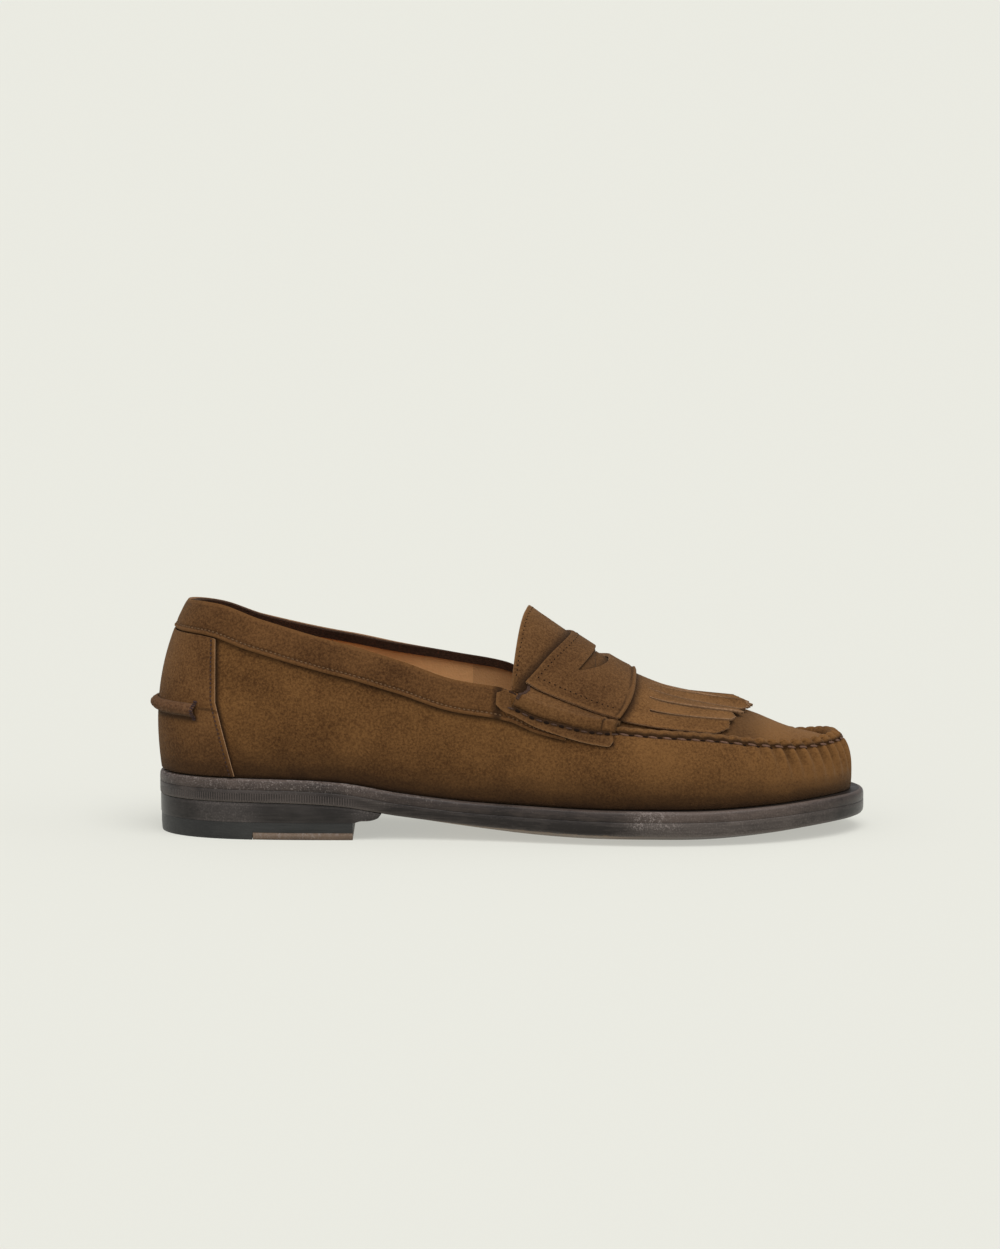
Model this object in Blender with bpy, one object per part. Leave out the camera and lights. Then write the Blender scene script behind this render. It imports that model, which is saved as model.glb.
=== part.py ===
"""Kiltie loafer, right shoe, standing empty on its sole.

Metres, +Z up, toe towards +X, the wearer's left (the inner side of the foot) towards +Y.
The origin is on the floor under the middle of the heel.

Most pieces are shells laid on two functions of the last: wall_point for the sides of the upper, and
instep_point for the top of the foot. A position round the shoe is a number u: 0 at the back of the heel,
1 at the tip of the toe by way of the outer side, and 2 at the heel again by way of the inner side.
"""
import math

import bpy
import bmesh
from mathutils import Vector

# Driving sizes of the sole
SOLE_LENGTH = 0.296
BALL_WIDTH = 0.102
HEEL_CENTRE = 0.034
SEAT_HEIGHT = 0.0254
TOE_SPRING = 0.0038
MIDSOLE_THICKNESS = 0.0044
OUTSOLE_THICKNESS = 0.0062
CROWN = 0.0028
SOLE_EDGE_ROUND = 0.0011

# Driving sizes of the heel
HEEL_LENGTH = 0.0817
HEEL_LIP = 0.0118
TOP_LIFT_THICKNESS = 0.0072
QUARTER_TIP_THICKNESS = 0.0030
QUARTER_TIP_LENGTH = 0.0420
HEEL_TAPER = 0.0010

# Driving sizes of the upper
WALL = 0.0024
BACK_HEIGHT = 0.0728
INSTEP_RISE = 0.0343
COLLAR_SET_IN = 0.0133
TOE_SET_IN = 0.0115
TOP_WIDTH = 0.7686 * BALL_WIDTH
WELT_SHOW = 0.0055
RIM_WIDTH = 0.0036
RIM_RISE = 0.0030
BULGE = 0.0040

# Driving sizes of the pieces sewn on the upper
GAP = 0.0003
BAND_WIDTH = 0.0118
BAND_THICKNESS = 0.0011
FACING_WIDTH = 0.0043
FACING_THICKNESS = 0.0009
COUNTER_THICKNESS = 0.0011
COUNTER_FOOT = 0.0328
COUNTER_SEAM = 0.0251
TAB_HEIGHT = 0.0056
TAB_THICKNESS = 0.0030
TAB_LEVEL_SHARE = 0.395
TAB_LENGTH = 0.0172
TONGUE_THICKNESS = 0.0017
KILTIE_THICKNESS = 0.0015
KILTIE_SLIT = 0.0009
STRAP_THICKNESS = 0.0019
STRAP_LIFT = 0.0024
ROLL_THICKNESS = 0.0030
ROLL_DROP = {"rear": 0.0064, "front": 0.0044}
FLAP_THICKNESS = 0.0011
FLAP_DROP = 0.0086
INSOLE_THICKNESS = 0.0030
INSOLE_CLEARANCE = 0.0006

# Numbers of facets
STATIONS = 38
WALL_STEPS = 6
PLUG_STEPS = 10
SOLE_STEPS = 6

LATERAL, MEDIAL = 0, 1
SOLE_BACK = -HEEL_CENTRE
TOP_BACK = SOLE_BACK + COLLAR_SET_IN
TOP_LENGTH = SOLE_LENGTH - COLLAR_SET_IN - TOE_SET_IN
BALL_STACK = MIDSOLE_THICKNESS + OUTSOLE_THICKNESS + CROWN
END_BLUNTNESS = 7.0
LEAN_POWER = 2.5

# Outline of the sole, along its length. Centre and half width are shares of BALL_WIDTH; the half width
# is that of the full shape, before the ends are rounded off.
OUTLINE = {
    "columns": ("along", "centre", "half_width"),
    "rows": (
        (0.00, 0.000, 0.345),
        (0.10, 0.000, 0.353),
        (0.20, -0.003, 0.352),
        (0.28, -0.012, 0.342),
        (0.37, -0.033, 0.317),
        (0.46, -0.048, 0.334),
        (0.55, -0.049, 0.397),
        (0.63, -0.038, 0.464),
        (0.71, -0.022, 0.504),
        (0.79, -0.004, 0.506),
        (0.87, 0.022, 0.480),
        (0.94, 0.038, 0.425),
        (1.00, 0.050, 0.370),
    ),
}

# Height of the seat that the upper stands on: how much of the heel's lift and of the toe spring it has
# there, how much of the crown the underside has, and how thick the outsole is.
SEAT = {
    "columns": ("along", "lift", "spring", "crown", "gauge"),
    "rows": (
        (0.00, 1.000, 0.00, 0.00, 0.84),
        (0.10, 1.000, 0.00, 0.00, 0.84),
        (0.20, 0.967, 0.00, 0.00, 0.84),
        (0.27, 0.838, 0.00, 0.10, 0.84),
        (0.34, 0.523, 0.00, 0.40, 0.84),
        (0.43, 0.262, 0.00, 0.75, 0.87),
        (0.51, 0.165, 0.00, 1.25, 0.96),
        (0.60, 0.100, 0.00, 1.50, 1.00),
        (0.69, 0.090, 0.00, 1.55, 1.00),
        (0.775, 0.065, 0.08, 1.50, 1.00),
        (0.86, 0.025, 0.44, 1.05, 1.00),
        (0.95, 0.000, 0.87, 0.45, 0.97),
        (1.00, 0.000, 1.00, 0.00, 0.93),
    ),
}

# Top edge of the side walls: collar at the back, seam round the apron in front. Centre and half width are
# shares of TOP_WIDTH, and the heights above the seat are shares of BACK_HEIGHT.
TOP_EDGE = {
    "columns": ("along", "centre", "half_width", "outer_height", "inner_height"),
    "rows": (
        (0.000, 0.000, 0.364, 0.978, 0.978),
        (0.053, 0.000, 0.368, 0.964, 0.928),
        (0.110, -0.003, 0.373, 0.893, 0.847),
        (0.215, -0.010, 0.373, 0.793, 0.770),
        (0.327, -0.019, 0.371, 0.738, 0.755),
        (0.400, -0.028, 0.388, 0.679, 0.739),
        (0.490, -0.038, 0.418, 0.642, 0.692),
        (0.535, -0.041, 0.434, 0.564, 0.609),
        (0.610, -0.043, 0.460, 0.487, 0.527),
        (0.695, -0.031, 0.490, 0.450, 0.478),
        (0.790, -0.005, 0.500, 0.423, 0.440),
        (0.879, 0.028, 0.490, 0.374, 0.362),
        (0.940, 0.046, 0.450, 0.341, 0.308),
        (1.000, 0.058, 0.400, 0.336, 0.336),
    ),
}

# Shape of the walls and of the plug: bulge of each wall as a share of BULGE, welt that shows as a share of
# WELT_SHOW, how far the plug's edge dips below the top edge as a share of RIM_RISE, and the power of the
# arch over the instep.
SHAPE = {
    "columns": ("along", "outer_bulge", "inner_bulge", "welt", "dip", "arch"),
    "rows": (
        (0.00, 0.62, 0.62, 0.40, -0.60, 2.0),
        (0.20, 0.65, 0.70, 0.42, -0.60, 2.0),
        (0.38, 0.55, 1.00, 0.45, -0.60, 2.0),
        (0.50, 0.50, 0.85, 0.60, -0.60, 2.0),
        (0.58, 0.45, 0.60, 0.75, -0.40, 2.0),
        (0.66, 0.40, 0.45, 0.90, 0.45, 2.1),
        (0.74, 0.35, 0.35, 0.95, 0.85, 2.2),
        (0.86, 0.30, 0.30, 0.98, 0.95, 2.4),
        (1.00, 0.20, 0.20, 1.00, 1.00, 2.4),
    ),
}

# Rise of the instep above the plug's edge, as a share of INSTEP_RISE, along the top edge.
INSTEP = {
    "columns": ("along", "rise"),
    "rows": (
        (0.495, 0.885),
        (0.527, 0.875),
        (0.583, 0.745),
        (0.632, 0.642),
        (0.669, 0.565),
        (0.699, 0.485),
        (0.735, 0.408),
        (0.790, 0.338),
        (0.860, 0.285),
        (0.900, 0.228),
        (0.956, 0.122),
        (1.000, 0.000),
    ),
}

# The cut edges of the pieces over the instep, at the middle and at the side, along the top edge.
THROAT_SHARE = 0.560
TONGUE_TOP_SHARE = {"middle": 0.5165, "outer": 0.4915, "inner": 0.5060}
TONGUE_BOW = 0.95
TONGUE_FRONT_SHARE = 0.618
TONGUE_EDGE_SHARE = 0.945
ROLL_EDGE_SHARE = 0.966
STRAP_REAR_SHARE = {"middle": 0.5775, "side": 0.5030}
STRAP_FRONT_SHARE = {"middle": 0.6815, "side": 0.6500}
STRAP_END_SHARE = 0.94
SLOT_END_SHARE = 0.627
SLOT_REAR_SHARE = {"middle": 0.615, "side": 0.5895}
SLOT_FRONT_SHARE = {"middle": 0.638, "side": 0.5925}
ROLL_REAR_SHARE = {"wall": 0.496, "top": 0.515}
ROLL_FRONT_SHARE = {"wall": 0.650, "top": 0.660}
FLAP_SPAN_SHARE = (0.474, 0.646)
COLLAR_SPAN_SHARE = 0.489
BAND_RUN_OUT_SHARE = (0.4925, 0.515, 0.545, 0.575)
KILTIE_REAR_SHARE = 0.6195
KILTIE_SLIT_START_SHARE = 0.705
KILTIE_EDGE_SHARE = 0.950

# Each strip of the fringe, from the outer side to the inner side: where its two corners and its point are
# cut, and how far its tip lifts off the plug, as a share of KILTIE_LIFT.
KILTIE_LIFT = 0.0050
STRIPS = {
    "columns": ("outer_corner", "point", "inner_corner", "lift"),
    "rows": (
        (0.798, 0.822, 0.834, 0.10),
        (0.834, 0.842, 0.836, 0.25),
        (0.838, 0.856, 0.848, 0.15),
        (0.850, 0.866, 0.858, 0.35),
        (0.860, 0.872, 0.858, 0.30),
        (0.856, 0.870, 0.850, 0.32),
        (0.846, 0.866, 0.840, 0.40),
        (0.840, 0.856, 0.830, 0.25),
        (0.832, 0.838, 0.816, 0.12),
    ),
}

SUEDE = (0.125, 0.062, 0.023, 1.0)
DARK_SUEDE = (0.045, 0.021, 0.010, 1.0)
LINING = (0.36, 0.19, 0.08, 1.0)
EDGE_DRESSING = (0.085, 0.068, 0.060, 1.0)
RUBBER = (0.030, 0.029, 0.027, 1.0)
SOLE_LEATHER = (0.16, 0.095, 0.055, 1.0)


def mix(a, b, share):
    return a + (b - a) * share


def smooth_column(table, column, at):
    """Value of a table's column at a place along it, on a smooth curve through the rows."""
    rows = table["rows"]
    k = table["columns"].index(column)
    if at <= rows[0][0]:
        return rows[0][k]
    if at >= rows[-1][0]:
        return rows[-1][k]
    i = next(n for n in range(len(rows) - 1) if at <= rows[n + 1][0])

    def slope(n):
        low, high = max(n - 1, 0), min(n + 1, len(rows) - 1)
        return (rows[high][k] - rows[low][k]) / (rows[high][0] - rows[low][0])

    step = rows[i + 1][0] - rows[i][0]
    t = (at - rows[i][0]) / step
    return (
        (2 * t ** 3 - 3 * t ** 2 + 1) * rows[i][k]
        + (t ** 3 - 2 * t ** 2 + t) * step * slope(i)
        + (3 * t ** 2 - 2 * t ** 3) * rows[i + 1][k]
        + (t ** 3 - t ** 2) * step * slope(i + 1)
    )


def along(u):
    """Share of the length at a position round the shoe."""
    return (1 - math.cos(math.pi * u)) / 2


def around(share, side=LATERAL):
    """Position round the shoe at a share of the length, on one side."""
    u = math.acos(1 - 2 * min(max(share, 0.0), 1.0)) / math.pi
    return u if side == LATERAL else 2 - u


def end_factor(share):
    """Half width left at a share of the length by the round heel and toe."""
    return math.sqrt(max(1 - abs(2 * share - 1) ** END_BLUNTNESS, 0.0))


def side_sign(u):
    """-1 on the outer side, +1 on the inner side, 0 at the two tips."""
    swing = math.sin(math.pi * u)
    return 0 if abs(swing) < 1e-9 else -math.copysign(1, swing)


def sole_edge(u):
    """Point of the sole's outline, seen from above."""
    share = along(u)
    half = smooth_column(OUTLINE, "half_width", share) * end_factor(share)
    middle = smooth_column(OUTLINE, "centre", share)
    return Vector((SOLE_BACK + share * SOLE_LENGTH, (middle + side_sign(u) * half) * BALL_WIDTH, 0.0))


def outward(u):
    """Level direction away from the shoe, square to the sole's outline."""
    step = 1e-3
    run = sole_edge(u + step) - sole_edge(u - step)
    return Vector((run.y, -run.x, 0.0)).normalized()


def sole_point(u, inset):
    return sole_edge(u) - outward(u) * inset


def seat_height(share):
    lift = smooth_column(SEAT, "lift", share) * (SEAT_HEIGHT - BALL_STACK)
    return BALL_STACK + lift + smooth_column(SEAT, "spring", share) * TOE_SPRING


def midsole_bottom(share):
    return seat_height(share) - MIDSOLE_THICKNESS


def outsole_bottom(share, across):
    """Height of the underside, crowned across the forefoot and flat where it treads."""
    thickness = smooth_column(SEAT, "gauge", share) * OUTSOLE_THICKNESS
    crown = smooth_column(SEAT, "crown", share) * CROWN * (1 - abs(across) ** 4)
    return max(midsole_bottom(share) - thickness - crown, 0.0)


def side_of(u):
    return "outer" if math.sin(math.pi * u) >= 0 else "inner"


def top_point(u):
    """Point of the walls' top edge."""
    share = along(u)
    half = smooth_column(TOP_EDGE, "half_width", share) * end_factor(share)
    middle = smooth_column(TOP_EDGE, "centre", share)
    x = TOP_BACK + share * TOP_LENGTH
    height = smooth_column(TOP_EDGE, side_of(u) + "_height", share) * BACK_HEIGHT
    base = seat_height((x - SOLE_BACK) / SOLE_LENGTH)
    return Vector((x, (middle + side_sign(u) * half) * TOP_WIDTH, base + height))


def feather_point(u):
    """Point where the wall's outer face meets the seat."""
    share = along(u)
    point = sole_point(u, smooth_column(SHAPE, "welt", share) * WELT_SHOW)
    point.z = seat_height((point.x - SOLE_BACK) / SOLE_LENGTH) + GAP
    return point


def wall_point(u, v):
    """Outer face of the wall, from the seat (v = 0) to its top edge (v = 1)."""
    foot, top = feather_point(u), top_point(u)
    point = foot.lerp(top, v ** LEAN_POWER)
    point += outward(u) * smooth_column(SHAPE, side_of(u) + "_bulge", along(u)) * BULGE * 4 * v * (1 - v)
    point.z = mix(foot.z, top.z, v)
    return point


def wall_normal(u, v):
    step = 2e-3
    low, high = max(v - step, 0.0), min(v + step, 1.0)
    up = wall_point(u, high) - wall_point(u, low)
    run = wall_point(u + step, v) - wall_point(u - step, v)
    normal = run.cross(up).normalized()
    return normal if normal.dot(outward(u)) > 0 else -normal


def wall_drop(u, distance):
    """The v that lies a distance below the wall's top edge."""
    height = (top_point(u) - feather_point(u)).length
    return 1 - distance / height


def wall_place(x, v):
    """Position round the shoe, on the outer side, where the wall has a given x at a given v."""
    low, high = 0.0, 1.0
    for _ in range(24):
        middle = (low + high) / 2
        low, high = (middle, high) if wall_point(middle, v).x < x else (low, middle)
    return (low + high) / 2


def on_wall(u, v, lift):
    return wall_point(u, v) + wall_normal(u, v) * lift


def plug_edge(u):
    """Where the plug starts, inside the sewn rim."""
    top = top_point(u)
    edge = top - outward(u) * RIM_WIDTH
    edge.z = top.z - smooth_column(SHAPE, "dip", along(u)) * RIM_RISE
    return edge


def instep_point(share, across):
    """Top of the foot at a share of the top edge's length, from -1 at the outer seam to 1 at the inner."""
    point = plug_edge(around(share)).lerp(plug_edge(around(share, MEDIAL)), (1 + across) / 2)
    power = smooth_column(SHAPE, "arch", share)
    point.z += smooth_column(INSTEP, "rise", share) * INSTEP_RISE * (1 - min(abs(across), 1.0) ** power)
    return point


def rim_point(u):
    """Crown of the sewn rim, between the wall's top edge and the plug."""
    top = top_point(u)
    rim = top - outward(u) * RIM_WIDTH * 0.55
    rim.z = mix(top.z, plug_edge(u).z, 0.12)
    return rim


def instep_normal(share, across):
    step = 4e-3
    forward = instep_point(share + step, across) - instep_point(share - step, across)
    sideways = instep_point(share, across + step) - instep_point(share, across - step)
    return forward.cross(sideways).normalized()


def on_instep(share, across, lift):
    return instep_point(share, across) + instep_normal(share, across) * lift


def bow(ends, across, power=2.0):
    """A cut edge's place, from its middle to its sides."""
    return mix(ends["middle"], ends["side"], min(abs(across), 1.0) ** power)


def clear_scene():
    for old in list(bpy.data.objects):
        bpy.data.objects.remove(old)


def principled(name, colour, roughness):
    material = bpy.data.materials.new(name)
    material.use_nodes = True
    shader = material.node_tree.nodes["Principled BSDF"]
    shader.inputs["Base Color"].default_value = colour
    shader.inputs["Roughness"].default_value = roughness
    shader.inputs["Metallic"].default_value = 0.0
    return material


def finish_object(name, mesh_data, material):
    """Welds a bmesh, turns its faces out and makes it an object of the shoe."""
    loose = [vertex for vertex in mesh_data.verts if not vertex.link_faces]
    bmesh.ops.delete(mesh_data, geom=loose, context="VERTS")
    bmesh.ops.remove_doubles(mesh_data, verts=mesh_data.verts, dist=2e-6)
    bmesh.ops.dissolve_degenerate(mesh_data, dist=1e-7, edges=mesh_data.edges)
    bmesh.ops.recalc_face_normals(mesh_data, faces=mesh_data.faces)
    mesh = bpy.data.meshes.new(name)
    mesh_data.to_mesh(mesh)
    mesh_data.free()
    mesh.shade_smooth()
    mesh.set_sharp_from_angle(angle=math.radians(50))
    mesh.materials.append(material)
    piece = bpy.data.objects.new(name, mesh)
    bpy.data.collections["kiltie_loafer"].objects.link(piece)
    return piece


def loft(name, rings, material):
    """A solid through closed rings of points. An end ring that isn't shrunk to a line is capped."""
    solid = bmesh.new()
    made = [[solid.verts.new(point) for point in ring] for ring in rings]
    for first, second in zip(made, made[1:]):
        for k in range(len(first)):
            after = (k + 1) % len(first)
            solid.faces.new((first[k], first[after], second[after], second[k]))
    for ring, points in ((made[0], rings[0]), (made[-1], rings[-1])):
        if max(point.y for point in points) - min(point.y for point in points) > 1e-4:
            solid.faces.new(ring)
    return finish_object(name, solid, material)


def shell(name, outer, inner, material, kept=None, closed_ends=()):
    """A wall between two grids of points, with the cells that kept(i, j) refuses left open.

    closed_ends names the first or last row where the grid folds onto itself and needs no edge."""
    solid = bmesh.new()
    grids = [[[solid.verts.new(p) for p in row] for row in grid] for grid in (outer, inner)]
    rows, columns = len(outer) - 1, len(outer[0]) - 1
    cells = {(i, j) for i in range(rows) for j in range(columns) if kept is None or kept(i, j)}
    for i, j in sorted(cells):
        corners = ((i, j), (i + 1, j), (i + 1, j + 1), (i, j + 1))
        for grid in grids:
            solid.faces.new([grid[a][b] for a, b in corners])
        edges = (
            ((i, j - 1), (i, j), (i + 1, j)),
            ((i, j + 1), (i, j + 1), (i + 1, j + 1)),
            ((i - 1, j), (i, j), (i, j + 1)),
            ((i + 1, j), (i + 1, j), (i + 1, j + 1)),
        )
        for beside, start, end in edges:
            folded = (beside[0] < 0 and "first" in closed_ends) or (beside[0] >= rows and "last" in closed_ends)
            if beside in cells or folded:
                continue
            solid.faces.new([grids[0][a][b] for a, b in (start, end)] + [grids[1][a][b] for a, b in (end, start)])
    return finish_object(name, solid, material)


def overlay(name, bases, lifts, material, thickness, kept=None):
    """A sheet over grid places: bases(i, j, lift) gives a point, lifts and thickness are i, j functions."""
    rows, columns = lifts["rows"], lifts["columns"]
    inner = [[bases(i, j, lifts["lift"](i, j)) for j in range(columns + 1)] for i in range(rows + 1)]
    outer = [
        [bases(i, j, lifts["lift"](i, j) + thickness(i, j)) for j in range(columns + 1)]
        for i in range(rows + 1)
    ]
    return shell(name, outer, inner, material, kept)


def slab_rings(stations, top, bottom, insets, steps):
    """Rings of a layer of the sole. insets pairs each edge point's inset with its share of the depth."""
    rings = []
    for u in stations:
        share = along(u)
        ring = []
        for sign in (1, -1):
            start, end = (u, 2 - u) if sign == 1 else (2 - u, u)
            edge_inset = insets[0][0] if sign == 1 else insets[-1][0]
            left, right = sole_point(start, edge_inset), sole_point(end, edge_inset)
            surface = top if sign == 1 else bottom
            for k in range(steps + 1):
                point = left.lerp(right, k / steps)
                point.z = surface(share, 2 * k / steps - 1)
                ring.append(point)
            for inset, depth in insets[1:-1][::sign]:
                point = sole_point(end, inset)
                point.z = mix(top(share, 1), bottom(share, 1), depth)
                ring.append(point)
        rings.append(ring)
    return rings


def build_sole(materials):
    """Midsole and outsole: two layers of leather, stitched through and rounded along the edge."""
    stations = [k / STATIONS for k in range(STATIONS + 1)]
    bend = SOLE_EDGE_ROUND

    def seat(share, across):
        return seat_height(share)

    def joint_above(share, across):
        return midsole_bottom(share) + GAP / 2

    def joint_below(share, across):
        return midsole_bottom(share) - GAP / 2

    loft(
        "midsole",
        slab_rings(stations, seat, joint_above, ((bend, 0), (0.3 * bend, 0.12), (0, 0.4), (0, 1)), 4),
        materials["edge"],
    )
    loft(
        "outsole",
        slab_rings(
            stations, joint_below, outsole_bottom, ((0, 0), (0, 0.7), (0.4 * bend, 0.93), (1.2 * bend, 1)), SOLE_STEPS
        ),
        materials["edge"],
    )


def heel_station(x):
    return around((x - SOLE_BACK) / SOLE_LENGTH)


def squared_end(rings, x):
    """The last ring, moved onto a flat face across the shoe."""
    for point in rings[-1]:
        point.x = x
    return rings


def build_heel(materials):
    """Heel base with its lip, rubber top lift, and the leather quarter tip let into its front."""
    breast = SOLE_BACK + HEEL_LENGTH
    steps = 12
    under_breast = heel_station(breast)
    stations = [under_breast * k / steps for k in range(steps + 1)]
    lip_stations = [heel_station(breast + HEEL_LIP * k) for k in (0.35, 0.7, 0.92, 1.0)]

    def base_top(share, across):
        return outsole_bottom(share, across) - GAP

    def base_bottom(share, across):
        """Flat under the heel, and turned up in a quarter round at the lip's front."""
        x = SOLE_BACK + share * SOLE_LENGTH
        into = max((x - (breast + 0.55 * HEEL_LIP)) / (0.45 * HEEL_LIP), 0.0)
        depth = (base_top(share, across) - TOP_LIFT_THICKNESS) * 0.55
        return TOP_LIFT_THICKNESS + GAP + depth * (1 - math.sqrt(max(1 - into ** 2, 0.0)))

    taper = HEEL_TAPER * 0.5
    loft(
        "heel_base",
        squared_end(
            slab_rings(stations + lip_stations, base_top, base_bottom, ((0.6 * taper, 0), (taper, 1)), 4),
            breast + HEEL_LIP,
        ),
        materials["edge"],
    )

    def lift_top(share, across):
        return TOP_LIFT_THICKNESS

    def floor(share, across):
        return 0.0

    tip_start = breast - QUARTER_TIP_LENGTH
    tip_u = heel_station(tip_start)
    ramp = 3 * GAP

    def lift_bottom(share, across):
        """The rubber is cut away in front to take the leather tip."""
        x = SOLE_BACK + share * SOLE_LENGTH
        return QUARTER_TIP_THICKNESS + GAP if x > tip_start + ramp / 2 else 0.0

    rear = [tip_u * k / 8 for k in range(9)]
    front = [heel_station(tip_start + ramp)] + [
        heel_station(mix(tip_start + ramp, breast, k / 4)) for k in range(1, 5)
    ]
    loft(
        "top_lift",
        squared_end(
            slab_rings(rear + front, lift_top, lift_bottom, ((taper, 0), (HEEL_TAPER, 1)), 4), breast
        ),
        materials["rubber"],
    )

    def tip_top(share, across):
        return QUARTER_TIP_THICKNESS

    tip_stations = [heel_station(mix(tip_start + 2 * ramp, breast, k / 4)) for k in range(5)]
    rings = slab_rings(tip_stations, tip_top, floor, ((HEEL_TAPER, 0), (HEEL_TAPER, 1)), 4)
    for point in rings[0]:
        point.x = tip_start + 2 * ramp
    loft("quarter_tip", squared_end(rings, breast), materials["tip"])


def build_insole(materials):
    """The insole, lying on the midsole inside the walls."""
    stations = [k / (STATIONS - 4) for k in range(STATIONS - 3)]

    def inset_at(u):
        return smooth_column(SHAPE, "welt", along(u)) * WELT_SHOW + WALL + INSOLE_CLEARANCE

    rings = []
    for u in stations:
        left, right = sole_point(u, inset_at(u)), sole_point(2 - u, inset_at(2 - u))
        ring = []
        for level in (INSOLE_THICKNESS, GAP):
            line = [left.lerp(right, k / 4) for k in range(5)]
            for point in line:
                point.z = seat_height((point.x - SOLE_BACK) / SOLE_LENGTH) + level
            ring += line if level == INSOLE_THICKNESS else line[::-1]
        rings.append(ring)
    loft("insole", rings, materials["lining"])


def build_upper(materials):
    """The upper: side walls and plug in one hollow wall, with the sewn rim round the apron."""
    levels = [k / WALL_STEPS for k in range(WALL_STEPS + 1)]
    columns = [2 * k / PLUG_STEPS - 1 for k in range(PLUG_STEPS + 1)]
    rows = [k / STATIONS for k in range(STATIONS + 1)]
    first_plug_row = next(i for i, u in enumerate(rows) if along(u) >= THROAT_SHARE)

    def outer_section(u):
        left = [wall_point(u, v) for v in levels] + [rim_point(u)]
        right = [wall_point(2 - u, v) for v in levels] + [rim_point(2 - u)]
        return left + [instep_point(along(u), across) for across in columns] + right[::-1]

    def inner_wall(u, lowered):
        height = (top_point(u) - feather_point(u)).length
        drop = smooth_column(SHAPE, "dip", along(u)) * RIM_RISE + WALL * 0.8
        top = 1 - max(drop, WALL * 0.4) / height if lowered else 1.0
        points = []
        for v in levels:
            normal = wall_normal(u, v * top)
            if v == 0:
                normal = Vector((normal.x, normal.y, 0.0)).normalized()
            points.append(wall_point(u, v * top) - normal * WALL)
        return points

    def inner_plug(share):
        if share > 0.999:
            tip = instep_point(1.0, 0.0) + Vector((-0.3, 0.0, -1.0)) * WALL
            return [tip] * len(columns)
        return [on_instep(share, across * 0.985, -WALL) for across in columns]

    def inner_section(i, u):
        left, right = inner_wall(u, i >= first_plug_row), inner_wall(2 - u, i >= first_plug_row)
        middle = inner_plug(along(u))
        left.append((left[-1] + middle[0]) / 2)
        right.append((right[-1] + middle[-1]) / 2)
        return left + middle + right[::-1]

    outer = [outer_section(u) for u in rows]
    inner = [inner_section(i, u) for i, u in enumerate(rows)]
    plug_cells = range(WALL_STEPS, len(outer[0]) - 1 - WALL_STEPS)

    def kept(i, j):
        return i >= first_plug_row or j not in plug_cells

    shell("upper", outer, inner, materials["suede"], kept, ("first", "last"))


def build_collar(materials):
    """The band sewn round the outside of the topline, and the facing inside it."""
    collar_steps = 18
    collar_end = around(COLLAR_SPAN_SHARE)
    side = [collar_end * k / collar_steps for k in range(1, collar_steps + 1)]
    side += [around(share) for share in BAND_RUN_OUT_SHARE]
    places = [-u for u in reversed(side)] + [0.0] + side

    def band_top(u):
        """The band reaches the topline, and drops under the strap's flap in front."""
        if abs(u) <= collar_end + 1e-6:
            return 0.0
        return mix(FLAP_DROP * 0.8, BAND_WIDTH * 0.72, run_out(u))

    def run_out(u):
        return (along(abs(u)) - BAND_RUN_OUT_SHARE[0]) / (BAND_RUN_OUT_SHARE[-1] - BAND_RUN_OUT_SHARE[0])

    def band_base(i, j, lift):
        u = places[i]
        low = BAND_WIDTH * mix(1.0, 0.83, max(run_out(u), 0.0))
        drop = mix(low, band_top(u), j / 3)
        return on_wall(u % 2, wall_drop(u % 2, drop), lift)

    overlay(
        "collar_band",
        band_base,
        {"rows": len(places) - 1, "columns": 3, "lift": lambda i, j: GAP},
        materials["suede"],
        lambda i, j: BAND_THICKNESS,
    )

    inside = [mix(-collar_end, collar_end, k / (2 * collar_steps)) for k in range(2 * collar_steps + 1)]

    def facing_base(i, j, lift):
        u = inside[i] % 2
        return on_wall(u, wall_drop(u, FACING_WIDTH * (1 - j / 2) + GAP), -WALL - lift)

    overlay(
        "topline_facing",
        facing_base,
        {"rows": 2 * collar_steps, "columns": 2, "lift": lambda i, j: 1.6 * GAP},
        materials["dark_suede"],
        lambda i, j: FACING_THICKNESS,
    )


def build_counter(materials):
    """The backstay: an overlay on the heel below the collar band, with its sewn roll behind."""
    steps, levels = 8, 6

    def counter_base(i, j, lift):
        level = j / levels
        front = mix(COUNTER_FOOT, COUNTER_SEAM, min(level / 0.56, 1.0))
        widest = wall_place(SOLE_BACK + front, mix(0.012, 0.82, level))
        u = mix(-widest, widest, i / (2 * steps)) % 2
        top = wall_drop(u, BAND_WIDTH + 2 * GAP)
        return on_wall(u, mix(0.012, top, level), lift)

    overlay(
        "counter",
        counter_base,
        {"rows": 2 * steps, "columns": levels, "lift": lambda i, j: GAP},
        materials["suede"],
        lambda i, j: COUNTER_THICKNESS,
    )

    tab_steps = 7
    ends = wall_place(SOLE_BACK + TAB_LENGTH, TAB_LEVEL_SHARE)
    profile = (0.0, 0.72, 1.0, 0.72, 0.0)

    def tab_base(i, j, lift):
        u = mix(-ends, ends, i / (2 * tab_steps)) % 2
        height = (top_point(u) - feather_point(u)).length
        return on_wall(u, TAB_LEVEL_SHARE + (j / 4 - 0.5) * TAB_HEIGHT / height, lift)

    overlay(
        "heel_tab",
        tab_base,
        {"rows": 2 * tab_steps, "columns": 4, "lift": lambda i, j: 2 * GAP + COUNTER_THICKNESS},
        materials["suede"],
        lambda i, j: TAB_THICKNESS * mix(0.2, 1.0, profile[j]),
    )


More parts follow.
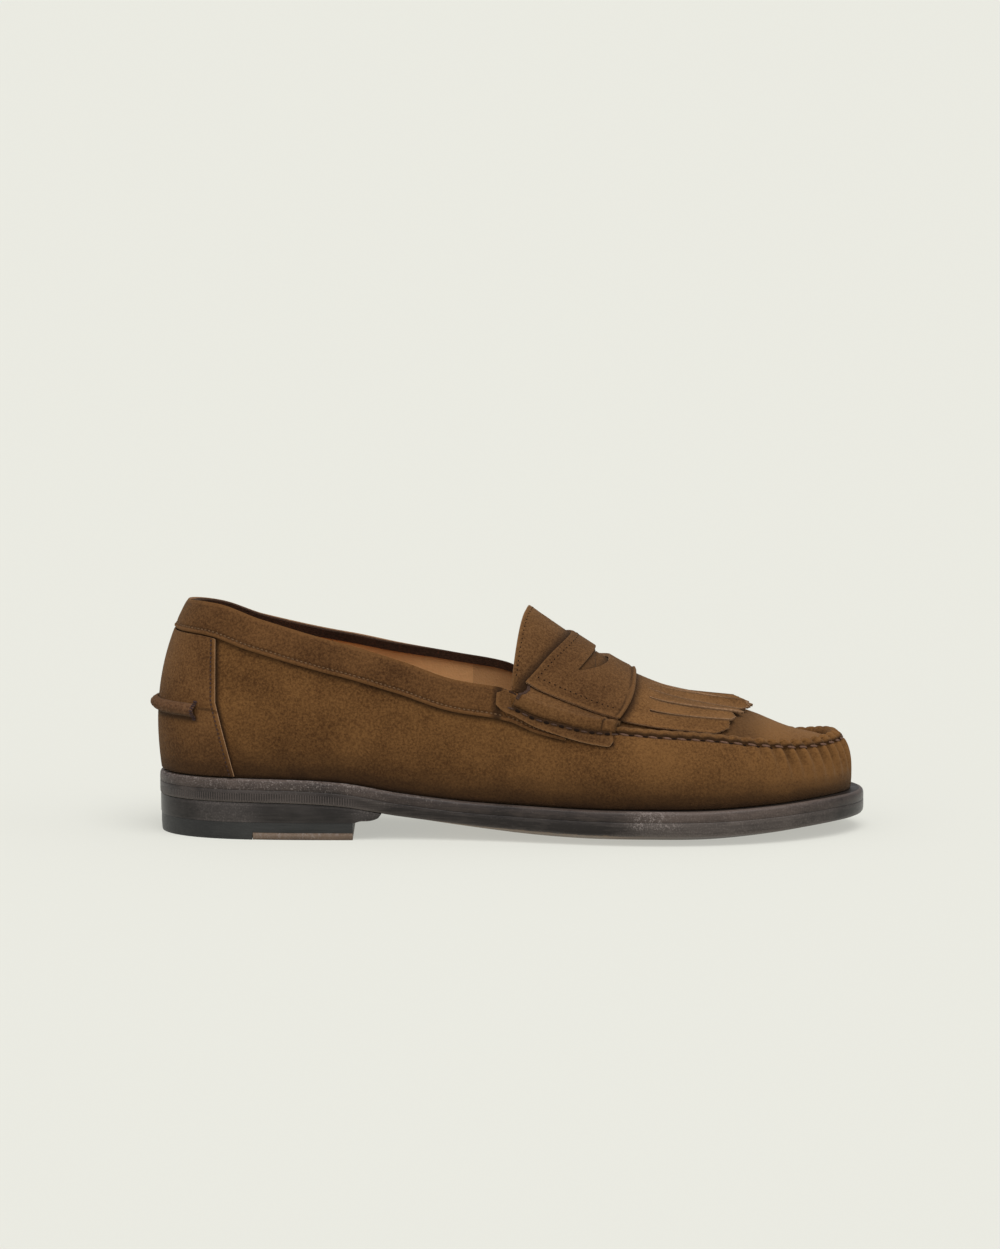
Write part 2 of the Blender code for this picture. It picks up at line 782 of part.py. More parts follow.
def build_tongue(materials):
    """The tongue, standing up behind the strap."""
    rows, columns = 7, 14

    def tongue_base(i, j, lift):
        across = (2 * j / columns - 1) * TONGUE_EDGE_SHARE
        side = TONGUE_TOP_SHARE["inner" if across > 0 else "outer"]
        rear = mix(TONGUE_TOP_SHARE["middle"], side, (across ** 2 + 0.004) ** (TONGUE_BOW / 2))
        share = mix(rear, TONGUE_FRONT_SHARE, i / rows)
        return on_instep(share, across, lift)

    overlay(
        "tongue",
        tongue_base,
        {"rows": rows, "columns": columns, "lift": lambda i, j: 1.5 * GAP},
        materials["suede"],
        lambda i, j: TONGUE_THICKNESS,
    )


def build_strap(materials):
    """The saddle strap with its slot, and at each side its sewn roll and the flap below the seam."""
    rows = 18

    def strap_base(i, j, lift):
        across = (2 * i / rows - 1) * STRAP_END_SHARE
        rear, front = bow(STRAP_REAR_SHARE, across, 1.9), bow(STRAP_FRONT_SHARE, across, 4.5)
        spread = min(abs(across) / SLOT_END_SHARE, 1.0)
        past = max(abs(across) - SLOT_END_SHARE, 0.0) / (STRAP_END_SHARE - SLOT_END_SHARE)
        slot_rear = mix(bow(SLOT_REAR_SHARE, spread), mix(rear, front, 0.42), past)
        slot_front = mix(bow(SLOT_FRONT_SHARE, spread, 3.0), mix(rear, front, 0.58), past)
        lines = (rear, mix(rear, slot_rear, 0.5), slot_rear, slot_front, mix(slot_front, front, 0.5), front)
        return on_instep(lines[j], across, lift)

    def strap_kept(i, j):
        middle = abs((2 * (i + 0.5) / rows - 1) * STRAP_END_SHARE)
        return j != 2 or middle > SLOT_END_SHARE

    overlay(
        "penny_strap",
        strap_base,
        {"rows": rows, "columns": 5, "lift": lambda i, j: STRAP_LIFT},
        materials["suede"],
        lambda i, j: STRAP_THICKNESS,
        strap_kept,
    )

    for side, label in ((LATERAL, "outer"), (MEDIAL, "inner")):
        build_roll(side, label, materials)
        build_flap(side, label, materials)


def build_roll(side, label, materials):
    """The rolled end of the strap, sewn along the seam and bulging over it."""
    steps = 9
    sign = -1 if side == LATERAL else 1
    profile = (0.12, 0.72, 1.0, 1.0, 0.74, 0.14)

    def roll_base(i, j, lift):
        rear, front = (mix(end["wall"], end["top"], j / 5) for end in (ROLL_REAR_SHARE, ROLL_FRONT_SHARE))
        share = mix(rear, front, i / steps)
        u = around(share, side)
        if j < 2:
            drop = mix(ROLL_DROP["rear"], ROLL_DROP["front"], i / steps)
            return on_wall(u, wall_drop(u, drop * (1 - j / 2)), lift)
        if j > 3:
            return on_instep(share, sign * mix(1.0, ROLL_EDGE_SHARE, j - 4), lift)
        normal = (wall_normal(u, 1.0) * (4 - j) + instep_normal(share, sign) * (j - 1)).normalized()
        return (top_point(u) if j == 2 else rim_point(u)) + normal * lift

    overlay(
        "strap_roll_" + label,
        roll_base,
        {"rows": steps, "columns": 5, "lift": lambda i, j: 2.7 * GAP},
        materials["suede"],
        lambda i, j: ROLL_THICKNESS * profile[j] * (0.75 if i in (0, steps) else 1.0),
    )


def build_flap(side, label, materials):
    """The thin end of the strap that shows below the seam, over the collar band."""
    start, end = FLAP_SPAN_SHARE
    behind = [mix(start, ROLL_REAR_SHARE["wall"] - 0.006, k / 4) for k in range(5)]
    below = [mix(ROLL_REAR_SHARE["wall"] - 0.004, end, k / 9) for k in range(10)]
    stations = behind + below

    def flap_base(i, j, lift):
        share = stations[i]
        u = around(share, side)
        rounding = min((share - start) / 0.018, (end - share) / 0.010, 1.0)
        low = FLAP_DROP * mix(0.72, 1.0, math.sin(rounding * math.pi / 2))
        high = 0.7 * FLAP_THICKNESS * (2 - rounding)
        if i >= len(behind):
            high = mix(ROLL_DROP["rear"], ROLL_DROP["front"], (i - len(behind)) / 9) + 2 * GAP
        return on_wall(u, wall_drop(u, mix(low, high, j / 2)), lift)

    overlay(
        "strap_flap_" + label,
        flap_base,
        {"rows": len(stations) - 1, "columns": 2, "lift": lambda i, j: 2.5 * GAP + BAND_THICKNESS},
        materials["suede"],
        lambda i, j: FLAP_THICKNESS,
    )


def build_kiltie(materials):
    """The kiltie: a leather sheet under the strap, slit into a fringe over the plug."""
    strips = STRIPS["rows"]
    body_rows, strip_rows = 4, 5
    places = []
    plug_width = TOP_WIDTH - 2 * RIM_WIDTH
    slit = KILTIE_SLIT / plug_width
    for k in range(len(strips)):
        low = mix(-KILTIE_EDGE_SHARE, KILTIE_EDGE_SHARE, k / len(strips)) + slit
        high = mix(-KILTIE_EDGE_SHARE, KILTIE_EDGE_SHARE, (k + 1) / len(strips)) - slit
        places += [(k, 0, low), (k, 1, (low + high) / 2), (k, 2, high)]

    def kiltie_base(i, j, lift):
        strip, part, across = places[j]
        if i <= body_rows:
            share = mix(KILTIE_REAR_SHARE, KILTIE_SLIT_START_SHARE, i / body_rows)
            return on_instep(share, across, lift)
        run = (i - body_rows) / strip_rows
        tip = strips[strip][part]
        share = mix(KILTIE_SLIT_START_SHARE, tip, run)
        raised = strips[strip][STRIPS["columns"].index("lift")] * KILTIE_LIFT * run ** 2
        return on_instep(share, across, lift + raised)

    def kiltie_kept(i, j):
        return i < body_rows or places[j][0] == places[j + 1][0]

    overlay(
        "kiltie",
        kiltie_base,
        {"rows": body_rows + strip_rows, "columns": len(places) - 1, "lift": lambda i, j: 1.5 * GAP},
        materials["suede"],
        lambda i, j: KILTIE_THICKNESS,
        kiltie_kept,
    )


def main():
    clear_scene()
    collection = bpy.data.collections.new("kiltie_loafer")
    bpy.context.scene.collection.children.link(collection)
    materials = {
        "suede": principled("suede", SUEDE, 0.92),
        "dark_suede": principled("dark_suede", DARK_SUEDE, 0.9),
        "lining": principled("lining_leather", LINING, 0.55),
        "edge": principled("edge_dressing", EDGE_DRESSING, 0.42),
        "rubber": principled("rubber", RUBBER, 0.5),
        "tip": principled("sole_leather", SOLE_LEATHER, 0.6),
    }
    build_sole(materials)
    build_heel(materials)
    build_insole(materials)
    build_upper(materials)
    build_collar(materials)
    build_counter(materials)
    build_tongue(materials)
    build_kiltie(materials)
    build_strap(materials)


main()
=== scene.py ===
"""Kiltie loafer in brown suede, a right shoe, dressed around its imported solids."""
import math
from functools import lru_cache

import bmesh
import bpy
from mathutils import Matrix, Vector


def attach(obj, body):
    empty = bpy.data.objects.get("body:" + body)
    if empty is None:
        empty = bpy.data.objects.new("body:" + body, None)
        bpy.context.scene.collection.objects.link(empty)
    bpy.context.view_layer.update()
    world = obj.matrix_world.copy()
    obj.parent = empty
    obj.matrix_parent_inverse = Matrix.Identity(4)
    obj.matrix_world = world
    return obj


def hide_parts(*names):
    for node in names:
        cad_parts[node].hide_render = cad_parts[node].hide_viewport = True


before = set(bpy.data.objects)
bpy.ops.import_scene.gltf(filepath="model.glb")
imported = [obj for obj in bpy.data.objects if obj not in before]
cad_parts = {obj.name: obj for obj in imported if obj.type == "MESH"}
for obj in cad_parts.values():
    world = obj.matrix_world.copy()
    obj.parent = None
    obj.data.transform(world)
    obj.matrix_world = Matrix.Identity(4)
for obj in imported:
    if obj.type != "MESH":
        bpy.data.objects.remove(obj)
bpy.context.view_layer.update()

# The sole
# An outsole and a midsole of firm leather, cut to one outline, with their edge trimmed, stained
# nearly black and waxed. The edge's top and its ball are paler, partly rubbed wear and partly a
# painted highlight where they catch the light, and its foot is worn tan.
SOLE_LENGTH = 0.296
BALL_WIDTH = 0.102
SOLE_BACK = -0.034
SEAT_HEIGHT = 0.0254
TOE_SPRING = 0.0038
MIDSOLE_THICKNESS = 0.0044
OUTSOLE_THICKNESS = 0.0062
CROWN = 0.0028
BALL_STACK = MIDSOLE_THICKNESS + OUTSOLE_THICKNESS + CROWN
END_BLUNTNESS = 7.0
GAP = 0.0003
JOINT = 0.00006
WELD_DISTANCE = 2e-6
RIB_PITCH = 0.00105

# Centre and half width of the outline are shares of BALL_WIDTH.
OUTLINE = {
    "columns": ("along", "centre", "half_width"),
    "rows": (
        (0.00, 0.000, 0.345),
        (0.10, 0.000, 0.353),
        (0.20, -0.003, 0.352),
        (0.28, -0.012, 0.342),
        (0.37, -0.033, 0.317),
        (0.46, -0.048, 0.334),
        (0.55, -0.049, 0.397),
        (0.63, -0.038, 0.464),
        (0.71, -0.022, 0.504),
        (0.79, -0.004, 0.506),
        (0.87, 0.022, 0.480),
        (0.94, 0.038, 0.425),
        (1.00, 0.050, 0.370),
    ),
}

# Shares of the heel's lift, of the toe spring, of the underside's crown and of the outsole's thickness.
SEAT = {
    "columns": ("along", "lift", "spring", "crown", "gauge"),
    "rows": (
        (0.00, 1.000, 0.00, 0.00, 0.84),
        (0.10, 1.000, 0.00, 0.00, 0.84),
        (0.20, 0.967, 0.00, 0.00, 0.84),
        (0.27, 0.838, 0.00, 0.10, 0.84),
        (0.34, 0.523, 0.00, 0.40, 0.84),
        (0.43, 0.262, 0.00, 0.75, 0.87),
        (0.51, 0.165, 0.00, 1.25, 0.96),
        (0.60, 0.100, 0.00, 1.50, 1.00),
        (0.69, 0.090, 0.00, 1.55, 1.00),
        (0.775, 0.065, 0.08, 1.50, 1.00),
        (0.86, 0.025, 0.44, 1.05, 1.00),
        (0.95, 0.000, 0.85, 0.45, 0.97),
        (1.00, 0.000, 0.84, 0.00, 0.93),
    ),
}


def mix(a, b, share):
    return a + (b - a) * share


def eased(value, start, end):
    """0 before start, 1 after end, and a soft step between."""
    t = min(max((value - start) / (end - start), 0.0), 1.0)
    return t * t * (3 - 2 * t)


def smooth_column(table, column, at):
    """Value of a table's column at a place along it, on a smooth curve through the rows."""
    rows = table["rows"]
    k = table["columns"].index(column)
    if at <= rows[0][0]:
        return rows[0][k]
    if at >= rows[-1][0]:
        return rows[-1][k]
    i = next(n for n in range(len(rows) - 1) if at <= rows[n + 1][0])

    def slope(n):
        low, high = max(n - 1, 0), min(n + 1, len(rows) - 1)
        return (rows[high][k] - rows[low][k]) / (rows[high][0] - rows[low][0])

    step = rows[i + 1][0] - rows[i][0]
    t = (at - rows[i][0]) / step
    return (
        (2 * t ** 3 - 3 * t ** 2 + 1) * rows[i][k]
        + (t ** 3 - 2 * t ** 2 + t) * step * slope(i)
        + (3 * t ** 2 - 2 * t ** 3) * rows[i + 1][k]
        + (t ** 3 - t ** 2) * step * slope(i + 1)
    )


def along(u):
    """Share of the length at a place round the shoe: 0 at the heel, 1 at the toe, 2 at the heel again."""
    return (1 - math.cos(math.pi * u)) / 2


def around(share, inner_side=False):
    u = math.acos(1 - 2 * min(max(share, 0.0), 1.0)) / math.pi
    return 2 - u if inner_side else u


def end_factor(share):
    return math.sqrt(max(1 - abs(2 * share - 1) ** END_BLUNTNESS, 0.0))


def side_sign(u):
    swing = math.sin(math.pi * u)
    return 0 if abs(swing) < 1e-9 else -math.copysign(1, swing)


@lru_cache(maxsize=None)
def sole_edge(u):
    share = along(u)
    half = smooth_column(OUTLINE, "half_width", share) * end_factor(share)
    middle = smooth_column(OUTLINE, "centre", share)
    return Vector((SOLE_BACK + share * SOLE_LENGTH, (middle + side_sign(u) * half) * BALL_WIDTH, 0.0))


@lru_cache(maxsize=None)
def outward(u):
    """Level direction away from the shoe, square to the sole's outline."""
    run = sole_edge(u + 1e-3) - sole_edge(u - 1e-3)
    return Vector((run.y, -run.x, 0.0)).normalized()


def sole_point(u, inset):
    return sole_edge(u) - outward(u) * inset


@lru_cache(maxsize=None)
def seat_height(share):
    lift = smooth_column(SEAT, "lift", share) * (SEAT_HEIGHT - BALL_STACK)
    return BALL_STACK + lift + smooth_column(SEAT, "spring", share) * TOE_SPRING


def midsole_bottom(share):
    return seat_height(share) - MIDSOLE_THICKNESS


@lru_cache(maxsize=None)
def outsole_bottom(share, across=1.0):
    thickness = smooth_column(SEAT, "gauge", share) * OUTSOLE_THICKNESS
    crown = smooth_column(SEAT, "crown", share) * CROWN * (1 - abs(across) ** 4)
    return max(midsole_bottom(share) - thickness - crown, 0.0)


def laid_grid(columns, rows, place, lined_from=None, kept=None):
    """A grid of faces with each corner moved to place(i, j), which gives its point and its UV.

    A third value that place gives is the vertex's shade: painted shade above 0, and paleness below, mostly a
    painted highlight.
    Rows from lined_from on take the second material, and faces that kept(i, j) refuses are cut out.
    """
    shape = bmesh.new()
    bmesh.ops.create_grid(shape, x_segments=columns, y_segments=rows, size=0.5)
    cells = {}
    for face in shape.faces:
        middle = face.calc_center_median()
        cells[face] = (int((middle.x + 0.5) * columns), int((middle.y + 0.5) * rows))
        face.material_index = int(lined_from is not None and cells[face][1] >= lined_from)
    if kept:
        bmesh.ops.delete(shape, geom=[face for face in cells if not kept(*cells[face])], context="FACES")
    flat = shape.loops.layers.uv.new("flat")
    shade = shape.verts.layers.float.new("shade")
    placed = {}
    for vertex in shape.verts:
        i, j = round((vertex.co.x + 0.5) * columns), round((vertex.co.y + 0.5) * rows)
        placed[vertex] = place(i, j)
    for face in shape.faces:
        for loop in face.loops:
            loop[flat].uv = placed[loop.vert][1]
    for vertex, (point, _, *painted_shading) in placed.items():
        vertex.co = point
        vertex[shade] = painted_shading[0] if painted_shading else 0.0
    return shape


def welded(shape):
    """Closes the seams and poles of a mesh, and turns its faces out."""
    bmesh.ops.remove_doubles(shape, verts=shape.verts, dist=WELD_DISTANCE)
    bmesh.ops.dissolve_degenerate(shape, dist=1e-7, edges=shape.edges)
    bmesh.ops.recalc_face_normals(shape, faces=shape.faces)
    return shape


def made_piece(name, shape, slot, *materials):
    mesh = bpy.data.meshes.new(name)
    shape.to_mesh(mesh)
    shape.free()
    mesh.shade_smooth()
    for material in materials:
        mesh.materials.append(material)
    piece = bpy.data.objects.new(name, mesh)
    bpy.context.scene.collection.objects.link(piece)
    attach(piece, "root")
    return piece


def sole_slab(stations, top, bottom, side, steps, front=None, softness=lambda share: 1.0):
    """A layer between two surfaces. side has the edge's rows: inset, and share of the depth.

    softness scales the insets of the lower half, and front gives the x of a flat front end.
    """
    lines = [("top", k) for k in range(steps + 1)]
    lines += [("inner", k) for k in range(1, len(side) - 1)]
    lines += [("bottom", k) for k in range(steps + 1)]
    lines += [("outer", k) for k in range(len(side) - 2, 0, -1)]
    lines.append(lines[0])
    runs = [0.0]
    for before, after in zip(stations, stations[1:]):
        runs.append(runs[-1] + (sole_edge(after) - sole_edge(before)).length)

    def place(i, j):
        u, share = stations[i], along(stations[i])
        part, k = lines[j]
        if part in ("top", "bottom"):
            inset = side[0][0] if part == "top" else side[-1][0] * softness(share)
            t = k / steps if part == "top" else 1 - k / steps
            inside = part == "top" and 0 < k < steps
            point = sole_point(u, inset).lerp(sole_point(2 - u, inset), t)
            point.z = (top if part == "top" else bottom)(share, 2 * t - 1)
            depth = -1.0 if inside else float(part == "bottom")
        else:
            inset, depth = side[k]
            inset *= softness(share) if depth > 0.5 else 1.0
            point = sole_point(u if part == "outer" else 2 - u, inset)
            point.z = mix(top(share, 1.0), bottom(share, 1.0), depth)
        if front is not None and i == len(stations) - 1:
            point.x = front
        return point, (runs[i], depth)

    shape = laid_grid(len(stations) - 1, len(lines) - 1, place)
    welded(shape)
    rim = [edge for edge in shape.edges if edge.is_boundary]
    if rim:
        bmesh.ops.holes_fill(shape, edges=rim, sides=0)
        bmesh.ops.recalc_face_normals(shape, faces=shape.faces)
    return shape


def add_node(tree, kind, wired, **settings):
    """A shader node with its settings, and with its inputs wired to sockets or set to values."""
    node = tree.nodes.new(kind)
    for name, value in settings.items():
        setattr(node, name, value)
    for name, value in wired.items():
        if isinstance(value, bpy.types.NodeSocket):
            tree.links.new(value, node.inputs[name])
        else:
            node.inputs[name].default_value = value
    return node


def shaped(tree, value, rows):
    """A colour ramp through rows of position and colour, or of position and grey value."""
    node = add_node(tree, "ShaderNodeValToRGB", {"Fac": value})
    ramp = node.color_ramp
    ramp.interpolation = "EASE"
    while len(ramp.elements) < len(rows):
        ramp.elements.new(0.5)
    for element, (position, colour) in zip(ramp.elements, rows):
        element.position = position
        element.color = (*colour[:3], 1.0) if isinstance(colour, tuple) else (colour, colour, colour, 1.0)
    return node.outputs["Color"]


def blended(tree, share, first, second):
    """Two colours mixed by a share."""
    node = add_node(tree, "ShaderNodeMix", {}, data_type="RGBA")
    for k, value in ((0, share), (6, first), (7, second)):
        if isinstance(value, bpy.types.NodeSocket):
            tree.links.new(value, node.inputs[k])
        else:
            node.inputs[k].default_value = (*value, 1.0) if isinstance(value, tuple) else value
    return node.outputs[2]


def combined(tree, how, first, second):
    return add_node(tree, "ShaderNodeMath", {0: first, 1: second}, operation=how).outputs[0]


def plus(tree, first, second):
    return combined(tree, "ADD", first, second)


def times(tree, first, second):
    return combined(tree, "MULTIPLY", first, second)


def new_group(name, inputs, outputs):
    """An empty shader node group with its sockets, given as name and kind."""
    group = bpy.data.node_groups.new(name, "ShaderNodeTree")
    for socket, kind in inputs:
        group.interface.new_socket(socket, in_out="INPUT", socket_type="NodeSocket" + kind)
    for socket, kind in outputs:
        group.interface.new_socket(socket, in_out="OUTPUT", socket_type="NodeSocket" + kind)
    return group, group.nodes.new("NodeGroupInput").outputs, group.nodes.new("NodeGroupOutput").inputs


def noise_at(tree, vector, scale, detail=3.0, roughness=0.55, stretch=None):
    if stretch is not None:
        vector = add_node(
            tree, "ShaderNodeMapping", {"Vector": vector, "Scale": stretch}
        ).outputs["Vector"]
    wired = {"Vector": vector, "Scale": scale, "Detail": detail, "Roughness": roughness}
    return add_node(tree, "ShaderNodeTexNoise", wired).outputs["Fac"]


def new_material(name, settings):
    """A material with its Principled BSDF's plain values set, and its tree and object coordinates."""
    material = bpy.data.materials.new(name)
    material.use_nodes = True
    tree = material.node_tree
    shader = tree.nodes["Principled BSDF"]
    for socket, value in settings.items():
        shader.inputs[socket].default_value = value
    return material, tree, shader, tree.nodes.new("ShaderNodeTexCoord").outputs


def bumped(tree, shader, height, distance, strength=1.0):
    node = add_node(tree, "ShaderNodeBump", {"Height": height, "Distance": distance, "Strength": strength})
    tree.links.new(node.outputs["Normal"], shader.inputs["Normal"])


# Rubbed places, shared by the waxed edges, the quarter tip and the rubber. On the waxed edges the
# amount fed in also paints highlights, a glint and a reflection, as pale wear and pale flecks.
rubbed_group, rubbed_in, rubbed_out = new_group(
    "rubbed_places",
    (("Vector", "Vector"), ("Amount", "Float")),
    (("WornAndLit", "Float"), ("ScuffsAndGlints", "Float"), ("Grain", "Float")),
)
rubbed_wide = noise_at(rubbed_group, rubbed_in["Vector"], 60.0, 3.0, 0.6, (0.5, 1.0, 1.0))
rubbed_streaks = noise_at(rubbed_group, rubbed_in["Vector"], 1500.0, 4.0, 0.6, (0.06, 0.5, 1.0))
rubbed_pits = noise_at(rubbed_group, rubbed_in["Vector"], 1500.0, 4.0, 0.7)
rubbed_level = plus(rubbed_group, rubbed_wide, times(rubbed_group, rubbed_streaks, 0.55))
rubbed_level = plus(rubbed_group, rubbed_level, rubbed_in["Amount"])
rubbed_worn_and_lit = add_node(
    rubbed_group, "ShaderNodeMapRange", {"Value": rubbed_level, "From Min": 0.80, "From Max": 1.50}
)
rubbed_flecks = plus(rubbed_group, rubbed_pits, times(rubbed_group, rubbed_in["Amount"], 0.28))
rubbed_scuffs_and_glints = add_node(
    rubbed_group, "ShaderNodeMapRange", {"Value": rubbed_flecks, "From Min": 0.62, "From Max": 0.80}
)
rubbed_group.links.new(rubbed_worn_and_lit.outputs["Result"], rubbed_out["WornAndLit"])
rubbed_group.links.new(rubbed_scuffs_and_glints.outputs["Result"], rubbed_out["ScuffsAndGlints"])
rubbed_group.links.new(rubbed_pits, rubbed_out["Grain"])


def rubbed(tree, vector, amount):
    node = add_node(tree, "ShaderNodeGroup", {}, node_tree=rubbed_group)
    tree.links.new(vector, node.inputs["Vector"])
    if isinstance(amount, bpy.types.NodeSocket):
        tree.links.new(amount, node.inputs["Amount"])
    else:
        node.inputs["Amount"].default_value = amount
    return node.outputs


# Pale flecks: real scuffs at the heel, and a painted glint on the ball's edge.
SCUFF_AND_GLINT_COLOUR = (0.29, 0.245, 0.225)
# Near black: painted shade in the crevice between the upper and the welt.
CREVICE_SHADE_COLOUR = (0.012, 0.008, 0.006)


def edge_leather(name, dark, worn, wear_and_highlight_rows, wear_and_highlight_zones, scuff_and_glint_rows=None, foot=None, ribs=None):
    """Stained and waxed edge, with rows of depth and amount and rows of length and amount of pale rubbing.

    That paleness is wear, and also a painted highlight where the edge's top and the ball catch the light, and
    a painted reflection on the stack. The optional scuff rows give lengths where the edge is scuffed, and on
    the ball its pale flecks paint a glint. foot says at what depth bare leather starts, how ragged it is, its
    colour and where it runs. ribs has the depths between which the heel's edge is combed.
    """
    material, tree, shader, coords = new_material(
        name, {"Coat Weight": 0.08, "Coat Roughness": 0.25, "Specular IOR Level": 0.22}
    )
    depth = add_node(tree, "ShaderNodeSeparateXYZ", {"Vector": coords["UV"]}).outputs
    length = add_node(tree, "ShaderNodeSeparateXYZ", {"Vector": coords["Object"]}).outputs["X"]
    reach = add_node(
        tree,
        "ShaderNodeMapRange",
        {"Value": length, "From Min": SOLE_BACK, "From Max": SOLE_BACK + SOLE_LENGTH},
    ).outputs["Result"]
    amount = plus(tree, shaped(tree, depth["Y"], wear_and_highlight_rows), times(tree, shaped(tree, reach, wear_and_highlight_zones), 0.5))
    scuffed_and_glinting = shaped(tree, reach, scuff_and_glint_rows) if scuff_and_glint_rows else 0.0
    if ribs:
        scuffed_and_glinting = times(tree, scuffed_and_glinting, shaped(tree, depth["Y"], ((0.30, 1.0), (0.60, 0.0))))
    places = rubbed(tree, coords["Object"], plus(tree, amount, times(tree, scuffed_and_glinting, 0.10)))
    colour = blended(tree, places["WornAndLit"], dark, worn)
    blotches = shaped(tree, noise_at(tree, coords["Object"], 420.0, 3.0, 0.6), ((0.42, 0.15), (0.62, 1.0)))
    marked = plus(tree, times(tree, times(tree, scuffed_and_glinting, blotches), 0.95), 0.16)
    flecks = times(tree, places["ScuffsAndGlints"], marked)
    colour = blended(tree, flecks, colour, SCUFF_AND_GLINT_COLOUR)
    if foot:
        start, uneven, bare, run = foot
        ragged = combined(tree, "SUBTRACT", noise_at(tree, coords["Object"], 260.0, 4.0), 0.5)
        edge = plus(tree, depth["Y"], times(tree, ragged, uneven))
        low_enough = shaped(tree, edge, ((start, 0.0), (start + 0.06, 1.0)))
        shown = times(tree, low_enough, shaped(tree, reach, run))
        colour = blended(tree, shown, colour, bare)
    # Painted shade: the slab's top face, seen in the crevice under the upper, is coloured near black.
    shaded_ledge = shaped(tree, plus(tree, depth["Y"], 1.0), ((0.88, 1.0), (0.97, 0.0)))
    colour = blended(tree, shaded_ledge, colour, CREVICE_SHADE_COLOUR)
    height = times(tree, places["Grain"], plus(tree, times(tree, scuffed_and_glinting, 0.9), 0.12))
    if ribs:
        low, high = ribs
        combed = times(tree, depth["X"], 2 * math.pi / RIB_PITCH)
        wave = add_node(tree, "ShaderNodeMath", {0: combed}, operation="SINE").outputs[0]
        heel = shaped(tree, reach, ((0.265, 1.0), (0.285, 0.0)))
        band = shaped(tree, depth["Y"], ((low, 0.0), (low + 0.08, 1.0), (high - 0.08, 1.0), (high, 0.0)))
        ribbed = times(tree, times(tree, wave, band), heel)
        height = plus(tree, height, times(tree, ribbed, 0.40))
        colour = blended(tree, times(tree, ribbed, 0.70), colour, (0.105, 0.082, 0.074))
    tree.links.new(colour, shader.inputs["Base Color"])
    shine = shaped(tree, places["WornAndLit"], ((0.0, 0.34), (1.0, 0.58)))
    tree.links.new(shine, shader.inputs["Roughness"])
    bumped(tree, shader, height, 0.0004)
    return material


# On the welt and outsole edges the pale top rows and the pale zones and flecks on the ball are painted
# highlights as well as rubbing; the heel's pale scuffs are wear.
welt_edge = edge_leather(
    "welt_edge",
    (0.0130, 0.0088, 0.0075),
    (0.095, 0.069, 0.057),
    ((0.0, 0.52), (0.10, 0.38), (0.20, 0.20), (0.6, 0.17), (1.0, 0.10)),
    ((0.0, 0.25), (0.27, 0.15), (0.36, 0.00), (0.62, 0.00), (0.69, 0.64), (0.90, 0.55), (0.985, 0.0)),
    scuff_and_glint_rows=((0.0, 0.95), (0.26, 0.95), (0.36, 0.50), (0.44, 0.05), (0.65, 0.0), (0.69, 0.75), (0.75, 0.0)),
)
outsole_edge = edge_leather(
    "outsole_edge",
    (0.0130, 0.0095, 0.0082),
    (0.090, 0.073, 0.064),
    ((0.0, 0.14), (0.24, 0.14), (0.30, 0.03), (0.7, 0.08), (1.0, 0.38)),
    ((0.0, 0.30), (0.27, 0.30), (0.34, 0.0), (0.62, 0.0), (0.69, 0.80), (0.90, 0.70), (0.985, 0.10)),
    scuff_and_glint_rows=((0.28, 0.0), (0.31, 0.5), (0.38, 0.0), (0.65, 0.0), (0.68, 0.95), (0.71, 0.75), (0.75, 0.0)),
    foot=(
        0.92, 0.22, (0.15, 0.100, 0.062),
        ((0.36, 0.0), (0.42, 1.0), (0.63, 1.0), (0.70, 0.3), (0.76, 0.0)),
    ),
    ribs=(0.26, 0.97),
)

sole_stations = [k / 150 for k in range(151)]
midsole = made_piece(
    "welt_and_midsole",
    sole_slab(
        sole_stations,
        lambda share, across: seat_height(share),
        lambda share, across: midsole_bottom(share) + JOINT / 2,
        (
            (0.0018, 0.00),
            (0.0009, 0.04),
            (0.0004, 0.14),
            (0.0001, 0.30),
            (0.0000, 0.60),
            (0.0000, 0.95),
            (0.0001, 1.00),
        ),
        10,
    ),
    "edge_dressing",
    welt_edge,
)
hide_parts("midsole")
outsole = made_piece(
    "outsole_layer",
    sole_slab(
        sole_stations,
        lambda share, across: midsole_bottom(share) - JOINT / 2,
        outsole_bottom,
        (
            (0.0001, 0.00),
            (0.0000, 0.05),
            (0.0000, 0.30),
            (0.0000, 0.62),
            (0.0002, 0.80),
            (0.0007, 0.93),
            (0.0016, 1.00),
        ),
        12,
        softness=lambda share: mix(0.15, 1.0, eased(share, 0.28, 0.36)),
    ),
    "edge_dressing",
    outsole_edge,
)
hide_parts("outsole")

# The heel
# A base of stacked leather with a low lip ahead of its front, a black rubber top lift nailed
# under it, and a leather quarter tip let into the lift's front half. All are trimmed together.
HEEL_LENGTH = 0.0817
HEEL_LIP = 0.0118
TOP_LIFT_THICKNESS = 0.0072
QUARTER_TIP_THICKNESS = 0.0030
QUARTER_TIP_LENGTH = 0.0420
HEEL_FRONT = SOLE_BACK + HEEL_LENGTH
TIP_START = HEEL_FRONT - QUARTER_TIP_LENGTH


def heel_stations(start, end, count):
    """Places round the outer side from one x to another."""
    first = around((start - SOLE_BACK) / SOLE_LENGTH)
    last = around((end - SOLE_BACK) / SOLE_LENGTH)
    return [mix(first, last, k / count) for k in range(count + 1)]


def heel_top(share, across):
    return outsole_bottom(share, across) - 4 * JOINT


